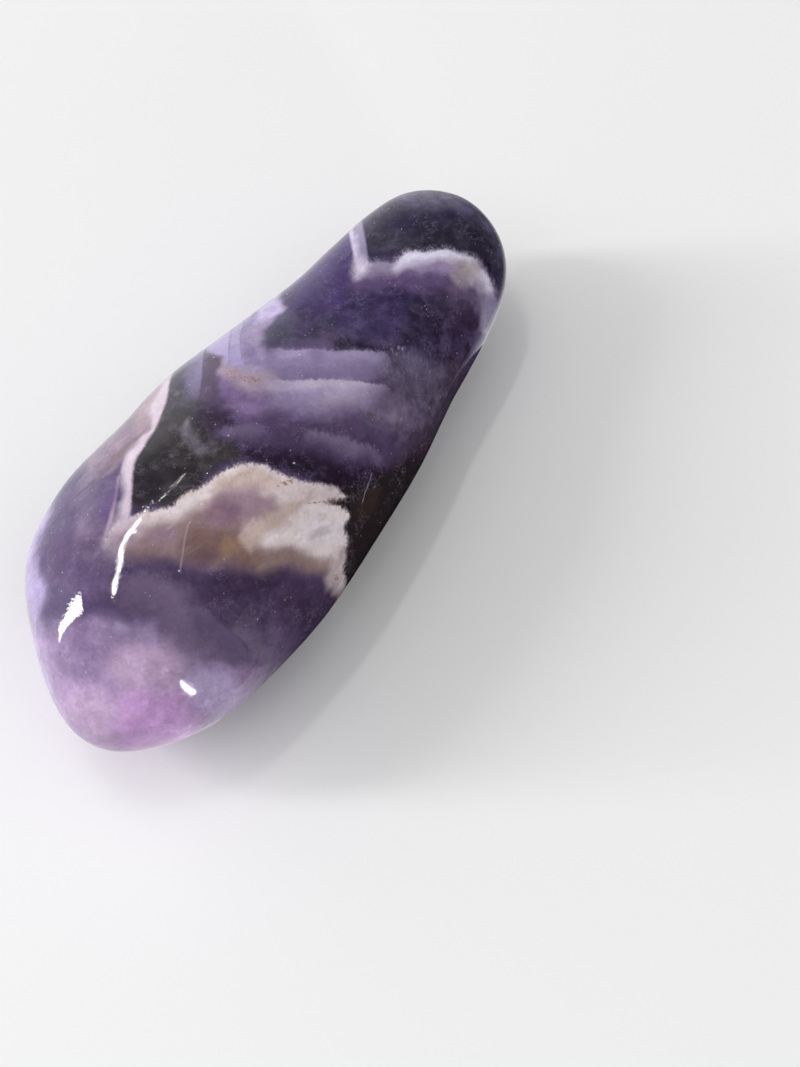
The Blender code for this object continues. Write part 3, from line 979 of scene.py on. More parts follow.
# %% The great band, the veils under it and the line up its left side
LOWER_BANDS = {
    "great_band": {
        "face": GREAT_BAND_TOP,
        "back": [(3.4, -10.4), (2.4, -8.6), (1, -8.2), (-2, -7.9), (-6, -7.8)],
        "colour": (221, 205, 207), "soft": 0.09, "ragged": 0.16, "frost": 0.20, "grit": 0.75,
        "streaks": ((166, 140, 136), 0.42),
        "reach": (0.5, [
            (-10.4, -6.8), (-10.8, -3), (-1, 1), (7, -1), (7, -10), (4.4, -10.2), (3.5, -8.1), (2.2, -7.3),
            (0, -7.15), (-3, -6.85), (-6, -6.8), (-8.4, -6.6),
        ]),
        "rim": ((238, 228, 232), 0.42, 0.62),
        "thin": [(0.9, 0.8, [(-10.9, -5.5), (-9.3, -5.8), (-8.9, -7.6), (-10.9, -7.8)])],
        "zones": [
            # cream at the crest, then tan below it
            ((206, 184, 174), 0.4, 0.8, [
                (-4.2, -1.9), (-3.0, -1.3), (-0.8, -1.2), (0.6, -1.9), (0.2, -2.7), (-3.6, -2.5),
            ]),
            ((138, 113, 116), 0.6, 0.95, [
                (-8.6, -4.9), (-6.4, -4.5), (-5.2, -3.6), (-4.2, -3.0), (-1.0, -3.6), (-1.2, -5.2),
                (-0.4, -6.2), (1.8, -6.3), (3.3, -7.2), (3.0, -8.6), (-6.4, -7.6), (-9.4, -6.8),
            ]),
            ((123, 96, 92), 0.6, 0.95, [
                (-5.2, -4.6), (-1.8, -4.6), (-1.0, -5.6), (0.2, -6.4), (0.4, -7.2), (-5.6, -7.0),
            ]),
            ((108, 84, 88), 0.5, 0.9, [(-5.4, -5.8), (-3.4, -5.8), (-3.2, -6.8), (-5.6, -6.8)]),
            ((144, 116, 132), 0.5, 0.9, [
                (-4.1, -3.1), (-3.5, -2.4), (-1.8, -2.3), (-0.3, -2.8), (0.6, -3.7), (-0.5, -4.4),
                (-1.8, -4.3), (-3.3, -4.4), (-4.1, -3.9),
            ]),
            ((120, 92, 116), 0.5, 0.8, [(-3.8, -3.4), (-2.2, -3.2), (-1.6, -3.9), (-2.8, -4.2)]),
            ((154, 126, 102), 0.4, 0.6, [(-2.8, -5.0), (-1.7, -5.3), (-1.5, -6.6), (-3.0, -6.8)]),
            ((150, 126, 148), 0.4, 0.8, [(-7.9, -4.8), (-5.8, -4.6), (-5.8, -5.5), (-7.6, -5.6)]),
            # a cream fold, the white lobe right of it, and tan under that
            ((192, 170, 162), 0.25, 0.8, [
                (-1.6, -5.5), (-1.2, -4.7), (-0.3, -3.8), (1.8, -3.1), (2.1, -3.6), (0.3, -4.6),
                (-0.4, -5.5), (-1.2, -6.3),
            ]),
            ((238, 224, 227), 0.4, 0.95, [
                (-0.4, -5.8), (0.1, -4.9), (1.8, -3.8), (3.0, -3.2), (4.6, -3.0), (5.2, -4), (5.2, -7.1),
                (3.9, -7.3), (2.9, -6.5), (1.8, -5.8), (0.6, -5.5),
            ]),
            ((233, 223, 232), 0.4, 0.8, [(1.2, -4.8), (3.0, -3.9), (4.2, -4.4), (4.2, -5.6), (2.0, -5.4)]),
            ((146, 122, 118), 0.4, 0.8, [
                (-1.2, -6.1), (1.8, -6.1), (3.3, -6.8), (3.9, -7.8), (3.2, -8.6), (1.8, -7.6),
                (-0.4, -7.2),
            ]),
            ((140, 116, 120), 0.5, 0.6, [(0.4, -6.9), (3.0, -7.2), (3.6, -8.6), (2.6, -8.6), (0.6, -7.9)]),
            ((178, 161, 168), 0.4, 0.9, [(3.7, -6), (4.9, -6), (5, -11), (4.0, -10)]),
            # the left corner
            ((196, 178, 192), 0.4, 0.9, [(-9.8, -4.4), (-8.0, -4.3), (-7.8, -5.0), (-9.4, -5.4)]),
            ((154, 136, 152), 0.4, 0.9, [(-10, -5.2), (-8.4, -5.2), (-8.2, -6.0), (-10.4, -6.2)]),
            ((110, 90, 106), 0.5, 0.8, [(-9.8, -6.1), (-6.4, -6.2), (-6.2, -7.4), (-9.8, -7.6)]),
        ],
    },
    "body_veil": {
        "face": [(-8.6, -7.4), (-6.0, -8.0), (-5.0, -9.0), (-4.6, -10.4), (-3.4, -12.4)],
        "back": [(-7.4, -12.0), (-9.4, -9.8)],
        "colour": (112, 95, 124), "soft": 0.5, "ragged": 0.5, "frost": 0.4, "fade": (0.2, 2.6),
    },
    "body_veil_low": {
        "face": [(-4.5, -9.2), (-3.2, -10.2), (-1.6, -11.8), (-1.0, -12.8)],
        "back": [(-2.6, -13.2), (-4.2, -12.0), (-4.8, -10.4)],
        "colour": (104, 88, 118), "soft": 0.16, "ragged": 0.20, "frost": 0.3, "fade": (0.1, 1.8),
    },
    "left_line": {
        "face": [
            (-6.5, 5.8), (-6.68, 4.6), (-6.66, 3.55), (-6.75, 2.9), (-7.0, 2.15), (-7.2, 1.4), (-7.5, 0.9),
            (-7.95, 0.05), (-8.35, -0.6), (-8.42, -1.1), (-8.42, -3.9), (-8.7, -5.0), (-9.6, -6.4),
        ],
        "back": [
            (-10.3, -6.2), (-9.7, -4.6), (-9.35, -3), (-9.2, -1.8), (-9.2, -1.0), (-9.1, -0.3),
            (-8.9, 0.5), (-8.5, 1.4), (-8.2, 2.6), (-8.1, 4.6),
        ],
        "colour": (210, 194, 210), "soft": 0.13, "ragged": 0.07, "fade": (0.42, 1.05),
        "thin": [
            (1.0, 0.9, [(-7.5, -5.2), (-11, -4.8), (-11, -8), (-7.5, -8)]),
            (0.75, 0.2, [
                (-7.9, 2.6), (-7.75, 1.5), (-8.2, 0.7), (-8.7, -0.3), (-9.1, -1.0), (-9.9, -0.6),
                (-9.3, 1.4), (-8.6, 2.8),
            ]),
        ],
        "zones": [
            ((186, 166, 172), 0.15, 0.8, [
                (-7.3, 4.2), (-7.1, 4.0), (-7.4, 2.2), (-8.4, 0.4), (-8.6, 0.6), (-7.7, 2.2),
            ]),
        ],
    },
    "left_line_second": {
        "face": [(-9.22, -1.5), (-9.35, -3.2), (-9.5, -4.4), (-9.85, -5.5), (-10.4, -6.6)],
        "back": [(-10.65, -6.4), (-10.1, -5.3), (-9.75, -4.3), (-9.6, -3.1), (-9.42, -1.7)],
        "colour": (172, 152, 172), "soft": 0.12, "ragged": 0.05, "fade": (0.1, 0.6),
        "thin": [(0.8, 0.6, [(-9, -5.6), (-11, -5.2), (-11, -8), (-9, -8)])],
    },
}
BANDS = UPPER_BANDS | LOWER_BANDS
print("crisp bands:", ", ".join(BANDS))

# %% [markdown]
# ## Kept on the mesh
#
# Two things are kept for each band: the distance to its outline, from which the finish makes the edge, and
# a paint whose fourth number says how solid the milk is, full near the face and gone where it has faded.
# They are kept on the vertices, so they stay with the stone wherever it goes, and no picture is needed.

# %% The paint of a band


def band_paint(points, band):
    """The band's colour at each point, and how solid its milk is."""
    paint = brush(np.tile(tone(*band["colour"]), (len(points), 1)), points, band.get("zones", []))
    solid = np.ones(len(points))
    behind = distance_to_line(points, np.array(band["face"]))
    if "rim" in band:
        colour, width, strength = band["rim"]
        share = np.clip(1 - behind / width, 0, 1)[:, None] * strength
        paint = paint * (1 - share) + tone(*colour) * share
    if "fade" in band:
        full, gone = band["fade"]
        solid = 1 - np.clip((behind - full) / (gone - full), 0, 1)
    if "reach" in band:
        softness, outline = band["reach"]
        solid = solid * share_inside(points, outline, softness)
    for strength, softness, outline in band.get("thin", []):
        solid = solid * (1 - strength * share_inside(points, outline, softness))
    return np.column_stack([paint, solid])


# %% Numbers and colours on the vertices


def store(name, values, kind):
    """Keeps numbers or colours on the stone's vertices under a name."""
    attribute = stone.data.attributes.new(name, kind, "POINT")
    field = "value" if kind == "FLOAT" else "color"
    attribute.data.foreach_set(field, np.asarray(values, np.float32).ravel())


store("ground_paint", np.column_stack([ground_paint, np.ones(len(spots))]), "FLOAT_COLOR")
store("blotch_wash", blotch_wash, "FLOAT_COLOR")
store("veil_wash", veil_wash, "FLOAT_COLOR")
store("rust_amount", rust_amount, "FLOAT")
for band_name, band in BANDS.items():
    store(band_name + "_edge", depth_inside(spots, band["face"] + band["back"]), "FLOAT")
    store(band_name + "_paint", band_paint(uneven_spots, band), "FLOAT_COLOR")
print("kept on the mesh:", len(stone.data.attributes), "attributes")

# %% [markdown]
# ## Nodes with short names
#
# A shader graph reads best as a few sentences. These helpers each add one node and hand back its output,
# so that the finish below can be written in the order in which the stone is layered.

# %% The finish, and sums in it
stone_finish = bpy.data.materials.new("banded amethyst")
stone_finish.use_nodes = True
stone.data.materials.append(stone_finish)
tree = stone_finish.node_tree
shader = tree.nodes["Principled BSDF"]


def feed(socket, value):
    """Links an output to a socket, or sets the socket to a plain value."""
    if isinstance(value, bpy.types.NodeSocket):
        tree.links.new(value, socket)
    else:
        socket.default_value = value


def maths(operation, a, b=0.0):
    """One sum, product or comparison of numbers."""
    node = tree.nodes.new("ShaderNodeMath")
    node.operation = operation
    feed(node.inputs[0], a)
    feed(node.inputs[1], b)
    return node.outputs[0]


def vector_maths(operation, *givens, output="Vector"):
    """The same for places."""
    node = tree.nodes.new("ShaderNodeVectorMath")
    node.operation = operation
    for socket, given in zip(node.inputs, givens):
        feed(socket, given)
    return node.outputs[output]


def between(value, low, high, to_low=0.0, to_high=1.0):
    """The value's smooth way from low to high."""
    node = tree.nodes.new("ShaderNodeMapRange")
    node.interpolation_type = "SMOOTHSTEP"
    for socket, given in zip(node.inputs, (value, low, high, to_low, to_high)):
        feed(socket, given)
    return node.outputs[0]


# %% Layers of colour, and what the mesh keeps
# A Mix node has sockets for numbers, places and colours, and these are the places of those for colours
MIX_SHARE, MIX_BELOW, MIX_ABOVE, MIX_RESULT = 0, 6, 7, 2


def mixed(share, below, above):
    """One colour laid over another."""
    node = tree.nodes.new("ShaderNodeMix")
    node.data_type = "RGBA"
    for index, given in ((MIX_SHARE, share), (MIX_BELOW, below), (MIX_ABOVE, above)):
        feed(node.inputs[index], given)
    return node.outputs[MIX_RESULT]


def paint_of(colour):
    """A colour as seen, as the four numbers that a colour socket takes."""
    return (*tone(*colour), 1)


def kept(name, output="Color"):
    """What was stored on the mesh under a name."""
    node = tree.nodes.new("ShaderNodeAttribute")
    node.attribute_name = name
    return node.outputs[output]


# %% [markdown]
# ## Where a shaded point is
#
# Object coordinates stay with the stone however it is moved or exported. One Mapping node turns them into
# the growth frame, in millimetres, so every pattern below can be stretched up the crystals or along the
# sheets without thinking about the stone's pose.

# %% Millimetres along u, v and the grain, for the patterns
GRAIN_ANGLES = (math.radians(90 - GRAIN_LEAN), 0, math.radians(GRAIN_TURN))

object_place = tree.nodes.new("ShaderNodeTexCoord")
grain_mapping = tree.nodes.new("ShaderNodeMapping")
grain_mapping.vector_type = "TEXTURE"
grain_mapping.inputs["Location"].default_value = [part * MM for part in STONE_MIDDLE]
grain_mapping.inputs["Rotation"].default_value = GRAIN_ANGLES
grain_mapping.inputs["Scale"].default_value = (MM, MM, MM)
feed(grain_mapping.inputs["Vector"], object_place.outputs["Object"])
grain_place = grain_mapping.outputs[0]


def mapped(place, kind, turn, scale):
    """A place turned about the grain by degrees, and scaled."""
    node = tree.nodes.new("ShaderNodeMapping")
    node.vector_type = kind
    node.inputs["Rotation"].default_value = (0, 0, math.radians(turn))
    node.inputs["Scale"].default_value = scale
    feed(node.inputs["Vector"], place)
    return node.outputs[0]


def growth_place(stretch=(1, 1, 1), turn=0.0):
    """Millimetres along u, v and the grain, stretched and turned for a pattern."""
    return mapped(grain_place, "POINT", turn, stretch)


def leaning_place(lean, lengths):
    """The same place, drawn out along a direction that leans so many degrees from u."""
    return mapped(grain_place, "TEXTURE", lean, lengths)


# %% Noise, cells, and places pushed about
def cloud(place, per_mm, detail=4.0, rough=0.55, twist=0.0, output="Fac"):
    """Fractal noise from 0 to 1, and mostly near a half."""
    node = tree.nodes.new("ShaderNodeTexNoise")
    feed(node.inputs["Vector"], place)
    for name, given in (("Scale", per_mm), ("Detail", detail), ("Roughness", rough), ("Distortion", twist)):
        node.inputs[name].default_value = given
    return node.outputs[output]


def cells(place, per_mm, feature="F1"):
    """A Voronoi node: cells round scattered points."""
    node = tree.nodes.new("ShaderNodeTexVoronoi")
    node.feature = feature
    feed(node.inputs["Vector"], place)
    node.inputs["Scale"].default_value = per_mm
    return node


def stirred(place, per_mm, reach):
    """A place pushed about by noise, so that what is laid there looks torn and flowing."""
    push = cloud(place, per_mm, detail=3, output="Color")
    pushed = vector_maths("MULTIPLY_ADD", push, (2 * reach, 2 * reach, 2 * reach), place)
    return vector_maths("ADD", pushed, (-reach, -reach, -reach))


# %% [markdown]
# ## Clouds, mottle, columns and grain
#
# Seen close, a violet zone is never one colour. Slow clouds lighten and darken it, torn blotches lie in it,
# faint columns run up the crystals, and a fine grain is over all of it. Noise at these four sizes is turned
# into factors round one, and the paint on the mesh is multiplied by them.

# %% The ground of the stone
CLOUD_STRENGTH = 0.26
MOTTLE_STRENGTH = 0.26
COLUMN_STRENGTH = 0.08
GRAIN_STRENGTH = 0.20


def swing(pattern, strength):
    """Turns noise round a half into a factor round one."""
    return maths("ADD", maths("MULTIPLY", maths("SUBTRACT", pattern, 0.5), 2 * strength), 1.0)


def shaded(colour, factor):
    """A colour made lighter or darker by a factor."""
    node = tree.nodes.new("ShaderNodeVectorMath")
    node.operation = "SCALE"
    feed(node.inputs[0], colour)
    feed(node.inputs["Scale"], factor)
    return node.outputs[0]


torn_place = stirred(growth_place(), per_mm=0.8, reach=0.9)
slow_clouds = cloud(growth_place(), per_mm=0.55, detail=3, rough=0.5, twist=0.4)
mottle = cloud(torn_place, per_mm=1.4, detail=5)
columns = cloud(growth_place((3.2, 0.5, 1.2), turn=4), per_mm=1.0, detail=3, rough=0.5)
grain = cloud(growth_place((1.0, 1.3, 1.0), turn=20), per_mm=3.6, rough=0.62, twist=0.3)

ground = shaded(kept("ground_paint"), swing(slow_clouds, CLOUD_STRENGTH))
for pattern, strength in ((mottle, MOTTLE_STRENGTH), (columns, COLUMN_STRENGTH), (grain, GRAIN_STRENGTH)):
    ground = shaded(ground, swing(pattern, strength))

# %% [markdown]
# ## Small crystals that differ
#
# The quartz is a crowd of crystals, and each is a little lighter or darker than its neighbour. Voronoi
# cells do that, because a whole cell takes one value. Their place is stirred first, or the walls between
# them would be straight.

# %% Crystal domains, coarse and fine
DOMAIN_STRENGTH = 0.10
FINE_DOMAIN_STRENGTH = 0.07


def domains(per_mm, strength, turn):
    """A factor that differs a little from one small crystal to the next."""
    found = cells(stirred(growth_place((1.0, 1.25, 1.0), turn), per_mm=1.8, reach=0.45), per_mm)
    return swing(found.outputs["Color"], strength)


coarse_domains = domains(1.0, DOMAIN_STRENGTH, turn=15)
crystal_domains = maths("MULTIPLY", coarse_domains, domains(2.6, FINE_DOMAIN_STRENGTH, turn=40))
ground = shaded(ground, crystal_domains)

# %% [markdown]
# ## Spots out of a wash
#
# The stored amount says how much of the place a blotch or veil takes. Noise is compared with it: the higher
# the amount, the lower the noise may be and still show a spot. A soft comparison keeps the edges of the
# spots cloudy, and a web of thin cell walls gives the veils their fine lines.

# %% Blotches
SPOT_START = 0.84
SPOT_DRAW = 0.72
SPOT_SOFTNESS = 0.30
BLOTCH_STRENGTH = 0.75


def spots_of(name, pattern, strength):
    """Share of a wash at each point, from its stored amount and a pattern from 0 to 1."""
    start = maths("SUBTRACT", SPOT_START, maths("MULTIPLY", kept(name, "Alpha"), SPOT_DRAW))
    ahead = maths("SUBTRACT", pattern, start)
    return maths("MULTIPLY", between(ahead, -SPOT_SOFTNESS / 2, SPOT_SOFTNESS), strength)


blotch_pattern = cloud(stirred(growth_place(), per_mm=1.2, reach=0.4), per_mm=0.9, detail=5, rough=0.56)
ground = mixed(spots_of("blotch_wash", blotch_pattern, BLOTCH_STRENGTH), ground, kept("blotch_wash"))

# %% Veils, with a web of thin walls
VEIL_STRENGTH = 0.60
WALL_WIDTH = 0.12
WALL_SHARE = 0.06

wall_place = stirred(growth_place((1.0, 1.15, 1.0), turn=25), per_mm=0.9, reach=1.0)
cell_walls = cells(wall_place, per_mm=0.62, feature="DISTANCE_TO_EDGE")
wall_lines = between(cell_walls.outputs["Distance"], 0.0, WALL_WIDTH, 1.0, 0.0)
veil_place = stirred(growth_place((1.0, 1.1, 1.0), turn=-20), per_mm=1.0, reach=0.5)
veil_clouds = cloud(veil_place, per_mm=1.0, detail=5, rough=0.58)
veil_pattern = maths("ADD", veil_clouds, maths("MULTIPLY", wall_lines, WALL_SHARE))
ground = mixed(spots_of("veil_wash", veil_pattern, VEIL_STRENGTH), ground, kept("veil_wash"))

# %% [markdown]
# ## Wisps
#
# Threads of tiny bubbles wind through the violet. A noise passes its middle value along just such winding
# lines, so a narrow turn round the middle draws them. A slower noise leaves them out in places.

# %% Wisps over the ground
WISP_COLOUR = (158, 146, 176)
WISP_STRENGTH = 0.24
WISP_WIDTH = 0.030

wisp_place = stirred(growth_place((1.0, 1.4, 1.0), turn=35), per_mm=1.6, reach=0.35)
wisp_way = cloud(wisp_place, per_mm=1.5, detail=5, rough=0.62)
wisp_lines = between(maths("ABSOLUTE", maths("SUBTRACT", wisp_way, 0.5)), 0.0, WISP_WIDTH, 1.0, 0.0)
wisp_patches = between(cloud(growth_place(turn=50), per_mm=0.7, detail=3, rough=0.5), 0.46, 0.62)
wisp_share = maths("MULTIPLY", maths("MULTIPLY", wisp_lines, wisp_patches), WISP_STRENGTH)
ground = mixed(wisp_share, ground, paint_of(WISP_COLOUR))
print("nodes of the ground:", len(tree.nodes))

# %% [markdown]
# ## Laying the milk
#
# Each band's distance gets noise added to it before it is turned into a share, so that the edge frays like
# the crystal tips it copies. The noise is stretched up the crystals, which gives the little spikes. Frost
# leaves gaps in the milk and loose crystals outside it, grit bites dark grains out of its edge, and streaks
# are stains that lean across it.

# %% Noise for the edges of the milk
FRAY_UP_SHARE = 0.6
FRAY_FINE_SHARE = 0.4
FRAY_REACH = 4.0

fray_up = cloud(growth_place((3.6, 1.1, 2.0), turn=3), per_mm=1.0, detail=5, rough=0.65)
fray_fine = cloud(growth_place(), per_mm=4.0, rough=0.65)
fray_parts = maths("MULTIPLY", fray_up, FRAY_UP_SHARE), maths("MULTIPLY", fray_fine, FRAY_FINE_SHARE)
fray = maths("MULTIPLY", maths("SUBTRACT", maths("ADD", *fray_parts), 0.5), FRAY_REACH)
frost = cloud(growth_place((2.6, 1.3, 2.0), turn=-4), per_mm=1.6, detail=6, rough=0.72)
grit = cloud(growth_place((1.3, 1.0, 1.0), turn=50), per_mm=5.0, detail=3, rough=0.6)

# %% Clouds and stains in the milk
MILK_CLOUD_STRENGTH = 0.18
MILK_GRAIN_STRENGTH = 0.14
MILK_DOMAIN_POWER = 0.6
STREAK_LEAN = 32
STREAK_LENGTHS = (2.8, 0.9, 1.5)

milk_mottle = swing(cloud(torn_place, per_mm=1.0), MILK_CLOUD_STRENGTH)
milk_clouds = maths("MULTIPLY", milk_mottle, swing(grain, MILK_GRAIN_STRENGTH))
milk_clouds = maths("MULTIPLY", milk_clouds, maths("POWER", crystal_domains, MILK_DOMAIN_POWER))
streak_place = stirred(leaning_place(STREAK_LEAN, STREAK_LENGTHS), per_mm=0.8, reach=0.35)
streaks = between(cloud(streak_place, per_mm=1.0), 0.50, 0.72)

# %% Bands over the ground


def frosted(share, frayed, width):
    """The share with gaps in the milk, and with loose crystals up to a width outside it."""
    halo = maths("MULTIPLY", between(frayed, -width, width / 2), between(frost, 0.38, 0.68))
    return maths("MAXIMUM", maths("MULTIPLY", share, between(frost, 0.1, 0.55, 0.7, 1.0)), halo)


def gritty(share, frayed, width):
    """The share with dark grains bitten out of the first stretch inside the edge."""
    near_edge = between(frayed, 0.0, width)
    return maths("MULTIPLY", share, between(maths("ADD", grit, near_edge), 0.36, 0.62, 0.35, 1.0))


def milk_share(name, band):
    """How much of the band's milk covers each point."""
    frayed = maths("ADD", kept(name + "_edge", "Fac"), maths("MULTIPLY", fray, band["ragged"]))
    share = between(frayed, -band["soft"], band["soft"])
    if "frost" in band:
        share = frosted(share, frayed, band["frost"])
    if "grit" in band:
        share = gritty(share, frayed, band["grit"])
    if "sparse" in band:
        share = maths("MULTIPLY", share, between(frost, *band["sparse"]))
    return maths("MULTIPLY", share, kept(name + "_paint", "Alpha"))


colour = ground
for band_name, band in BANDS.items():
    milk = kept(band_name + "_paint")
    if "streaks" in band:
        streak_colour, streak_strength = band["streaks"]
        milk = mixed(maths("MULTIPLY", streaks, streak_strength), milk, paint_of(streak_colour))
    colour = mixed(milk_share(band_name, band), colour, shaded(milk, milk_clouds))
print("nodes with the bands:", len(tree.nodes))

# %% [markdown]
# ## White specks
#
# A crystal face that broke under the polish shows as a white speck. They are cells again: a dot is a place
# near a cell's middle, and only some cells are chosen, by the value that each of them has.

# %% Two sizes of speck: stretch, turn, how many in a mm, radius in mm, how many of them show, strength
SPECK_COLOUR = (214, 205, 226)
SPECKS = (
    ((1, 1.3, 1), 30, 0.75, 0.11, 0.45, 0.7),
    ((1.5, 1, 1), -15, 2.1, 0.065, 0.5, 0.4),
)


def speck_share(place, per_mm, radius, amount, strength):
    """Share of tiny dots at some of the scattered points."""
    found = cells(place, per_mm)
    chosen = between(found.outputs["Color"], 1 - amount, 1 - amount + 0.02)
    size = maths("MULTIPLY", between(cloud(place, per_mm=0.7, detail=1), 0.3, 0.7), radius * per_mm)
    dot = maths("LESS_THAN", found.outputs["Distance"], size)
    return maths("MULTIPLY", maths("MULTIPLY", dot, chosen), strength)


for stretch, turn, *measures in SPECKS:
    colour = mixed(speck_share(growth_place(stretch, turn), *measures), colour, paint_of(SPECK_COLOUR))
print("sizes of speck:", len(SPECKS))

# %% [markdown]
# ## Rust
#
# Iron stains sit in a few fine cracks of the milk, as orange crumbs. The mesh keeps how much of each place
# they take, and fine noise above one minus that amount makes the crumbs.

# %% Rust crumbs
RUST_COLOUR = (158, 106, 70)
RUST_STRENGTH = 0.75

rust_start = maths("SUBTRACT", 1.0, kept("rust_amount", "Fac"))
rust_ahead = maths("SUBTRACT", cloud(growth_place(), per_mm=6.0, detail=3, rough=0.6), rust_start)
rust_share = maths("MULTIPLY", between(rust_ahead, 0.0, 0.12), RUST_STRENGTH)
colour = mixed(rust_share, colour, paint_of(RUST_COLOUR))
print("nodes with specks and rust:", len(tree.nodes))

# %% [markdown]
# ## Hairlines
#
# A scratch, a healed crack and the edges of a few sheets show as lines finer than a hair. Each is an arc:
# the points that are one radius from a centre, as far as its two ends. The place is stirred a little, so
# that no line is a perfect arc, and the lines stay on the front, because a real one doesn't go through.

# %% Hairlines: start, end, how far the middle bulges, width, strength and colour
PALE_LINE = (206, 194, 210)
DARK_LINE = (62, 46, 76)
HAIRLINES = [
    # a scratch in the smoke, and three sheet lines in the great band
    ((6.15, -1.3), (5.5, -3.3), 0.03, 0.03, 0.5, PALE_LINE),
    ((-4.75, -4.2), (-5.25, -7.6), -0.2, 0.07, 0.22, PALE_LINE),
    ((-4.4, -2.7), (-6.4, -5.0), 0.2, 0.12, 0.22, PALE_LINE),
    ((-0.9, -4.0), (-2.0, -5.4), 0.1, 0.08, 0.14, PALE_LINE),
    # growth lines on the left side, and a crack over the neck
    ((-14.3, -5.9), (-10.4, -1.6), 0.5, 0.09, 0.45, DARK_LINE),
    ((-13.9, -6.4), (-10.2, -2.1), 0.5, 0.07, 0.30, DARK_LINE),
    ((10.9, 11.6), (10.0, 9.2), 0.15, 0.07, 0.30, DARK_LINE),
]

# %% Arcs over the finish
FRONT_DEPTH = 1.5

line_place = mapped(stirred(growth_place(), per_mm=0.9, reach=0.18), "POINT", 0.0, (1, 1, 0))
along_grain = tree.nodes.new("ShaderNodeSeparateXYZ")
feed(along_grain.inputs[0], grain_place)
front_share = between(along_grain.outputs["Z"], 0.0, FRONT_DEPTH)


def hairline(start, end, bulge, width):
    """Share of a thin arc from start to end, across the grain and on the front only."""
    start, end = np.array(start), np.array(end)
    chord = end - start
    half = np.linalg.norm(chord) / 2
    radius = (half**2 + bulge**2) / (2 * bulge)
    middle = (start + end) / 2
    centre = middle + np.array([chord[1], -chord[0]]) / (2 * half) * (radius - bulge)
    away = vector_maths("DISTANCE", line_place, (*centre, 0), output="Value")
    along = vector_maths("DISTANCE", line_place, (*middle, 0), output="Value")
    off_line = maths("ABSOLUTE", maths("SUBTRACT", away, abs(radius)))
    line = between(off_line, width / 2, width, 1.0, 0.0)
    return maths("MULTIPLY", line, between(along, half * 0.75, half * 1.05, 1.0, 0.0))


for start, end, bulge, width, strength, line_colour in HAIRLINES:
    seen_share = maths("MULTIPLY", front_share, strength)
    line_share = maths("MULTIPLY", hairline(start, end, bulge, width), seen_share)
    colour = mixed(line_share, colour, paint_of(line_colour))
print("hairlines:", len(HAIRLINES))

# %% [markdown]
# ## The polish
#
# A barrel polish is bright but not even: clear where the stone rubbed long, a little duller in torn
# patches, with scuffs finer than the mesh can carry. So the roughness comes from noise between two low
# values, and the scuffs are a bump a few thousandths of a millimetre high, drawn out one way.

# %% Gloss and scuffs
POLISH_ROUGHNESS = (0.03, 0.06)
QUARTZ_IOR = 1.54
SCUFFS_PER_MM = 3.5
SCUFF_HEIGHT = 0.0035

dull_patches = cloud(torn_place, per_mm=1.2, rough=0.6)
feed(shader.inputs["Base Color"], colour)
feed(shader.inputs["Roughness"], between(dull_patches, 0.42, 0.70, *POLISH_ROUGHNESS))
shader.inputs["IOR"].default_value = QUARTZ_IOR

scuffs = tree.nodes.new("ShaderNodeBump")
scuffs.inputs["Strength"].default_value = 1.0
scuffs.inputs["Distance"].default_value = SCUFF_HEIGHT * MM
scuff_pattern = cloud(growth_place((1.0, 1.6, 1.0), turn=30), per_mm=SCUFFS_PER_MM, detail=2, rough=0.6)
feed(scuffs.inputs["Height"], scuff_pattern)
feed(shader.inputs["Normal"], scuffs.outputs["Normal"])
print("finish nodes:", len(tree.nodes))

# %% [markdown]
# ## The floor
#
# The stone lies on a pale sheet, a hair below its foot, so that the two don't share a surface. The sheet
# isn't mirrored in the polish. The studio round it has a glow below the horizon instead, which is even and
# without the stone's own shadow.

# %% A pale sheet
FLOOR_SIZE = 3.0
FLOOR_DROP = 0.02
SHEET_COLOUR = (0.92, 0.92, 0.925, 1)
SHEET_ROUGHNESS = 0.9
SHEET_GLOSS = 0.1


def pale_finish():
    """Matt pale paper."""
    finish = bpy.data.materials.new("pale sheet")
    finish.use_nodes = True
    sheet = finish.node_tree.nodes["Principled BSDF"]
    sheet.inputs["Base Color"].default_value = SHEET_COLOUR
    sheet.inputs["Roughness"].default_value = SHEET_ROUGHNESS
    sheet.inputs["Specular IOR Level"].default_value = SHEET_GLOSS
    return finish


def flat_object(name, flat, finish):
    """The object of a flat bmesh, with its finish."""
    mesh = bpy.data.meshes.new(name)
    flat.to_mesh(mesh)
    flat.free()
    mesh.materials.append(finish)
    item = bpy.data.objects.new(name, mesh)
    bpy.context.scene.collection.objects.link(item)
    return item


sheet_mesh = bmesh.new()
bmesh.ops.create_grid(sheet_mesh, x_segments=1, y_segments=1, size=FLOOR_SIZE / 2)
bmesh.ops.translate(sheet_mesh, verts=sheet_mesh.verts, vec=(0, 0, -FLOOR_DROP * MM))
floor = flat_object("floor", sheet_mesh, pale_finish())
floor.visible_glossy = False
print("floor in metres:", FLOOR_SIZE)

# %% [markdown]
# ## Two cards of painted shade
#
# These cards are painted shade that only the polish sees. One lies by the right flank and stands for the
# floor in the stone's shadow; one stands beyond it and keeps what the right side mirrors dark. Only the
# polish mirrors them: the camera, the soft light and the shadows pass through. They turn from pale to dark
# over a few millimetres, because a hard end would show as a cut in the stone's rim.

# %% Corners of the cards in millimetres, and from where to where along X they turn dark
CARD_LYING = [(-15, -20, 0.01), (18, -20, 0.01), (18, -3, 0.01), (-15, -3, 0.01)]
CARD_STANDING = [(-11, -15, 0), (34, -15, 0), (34, -15, 16), (-11, -15, 16)]
CARD_TURN = (-13, -7)
CARD_PALE = 0.9
CARD_DARK = 0.01


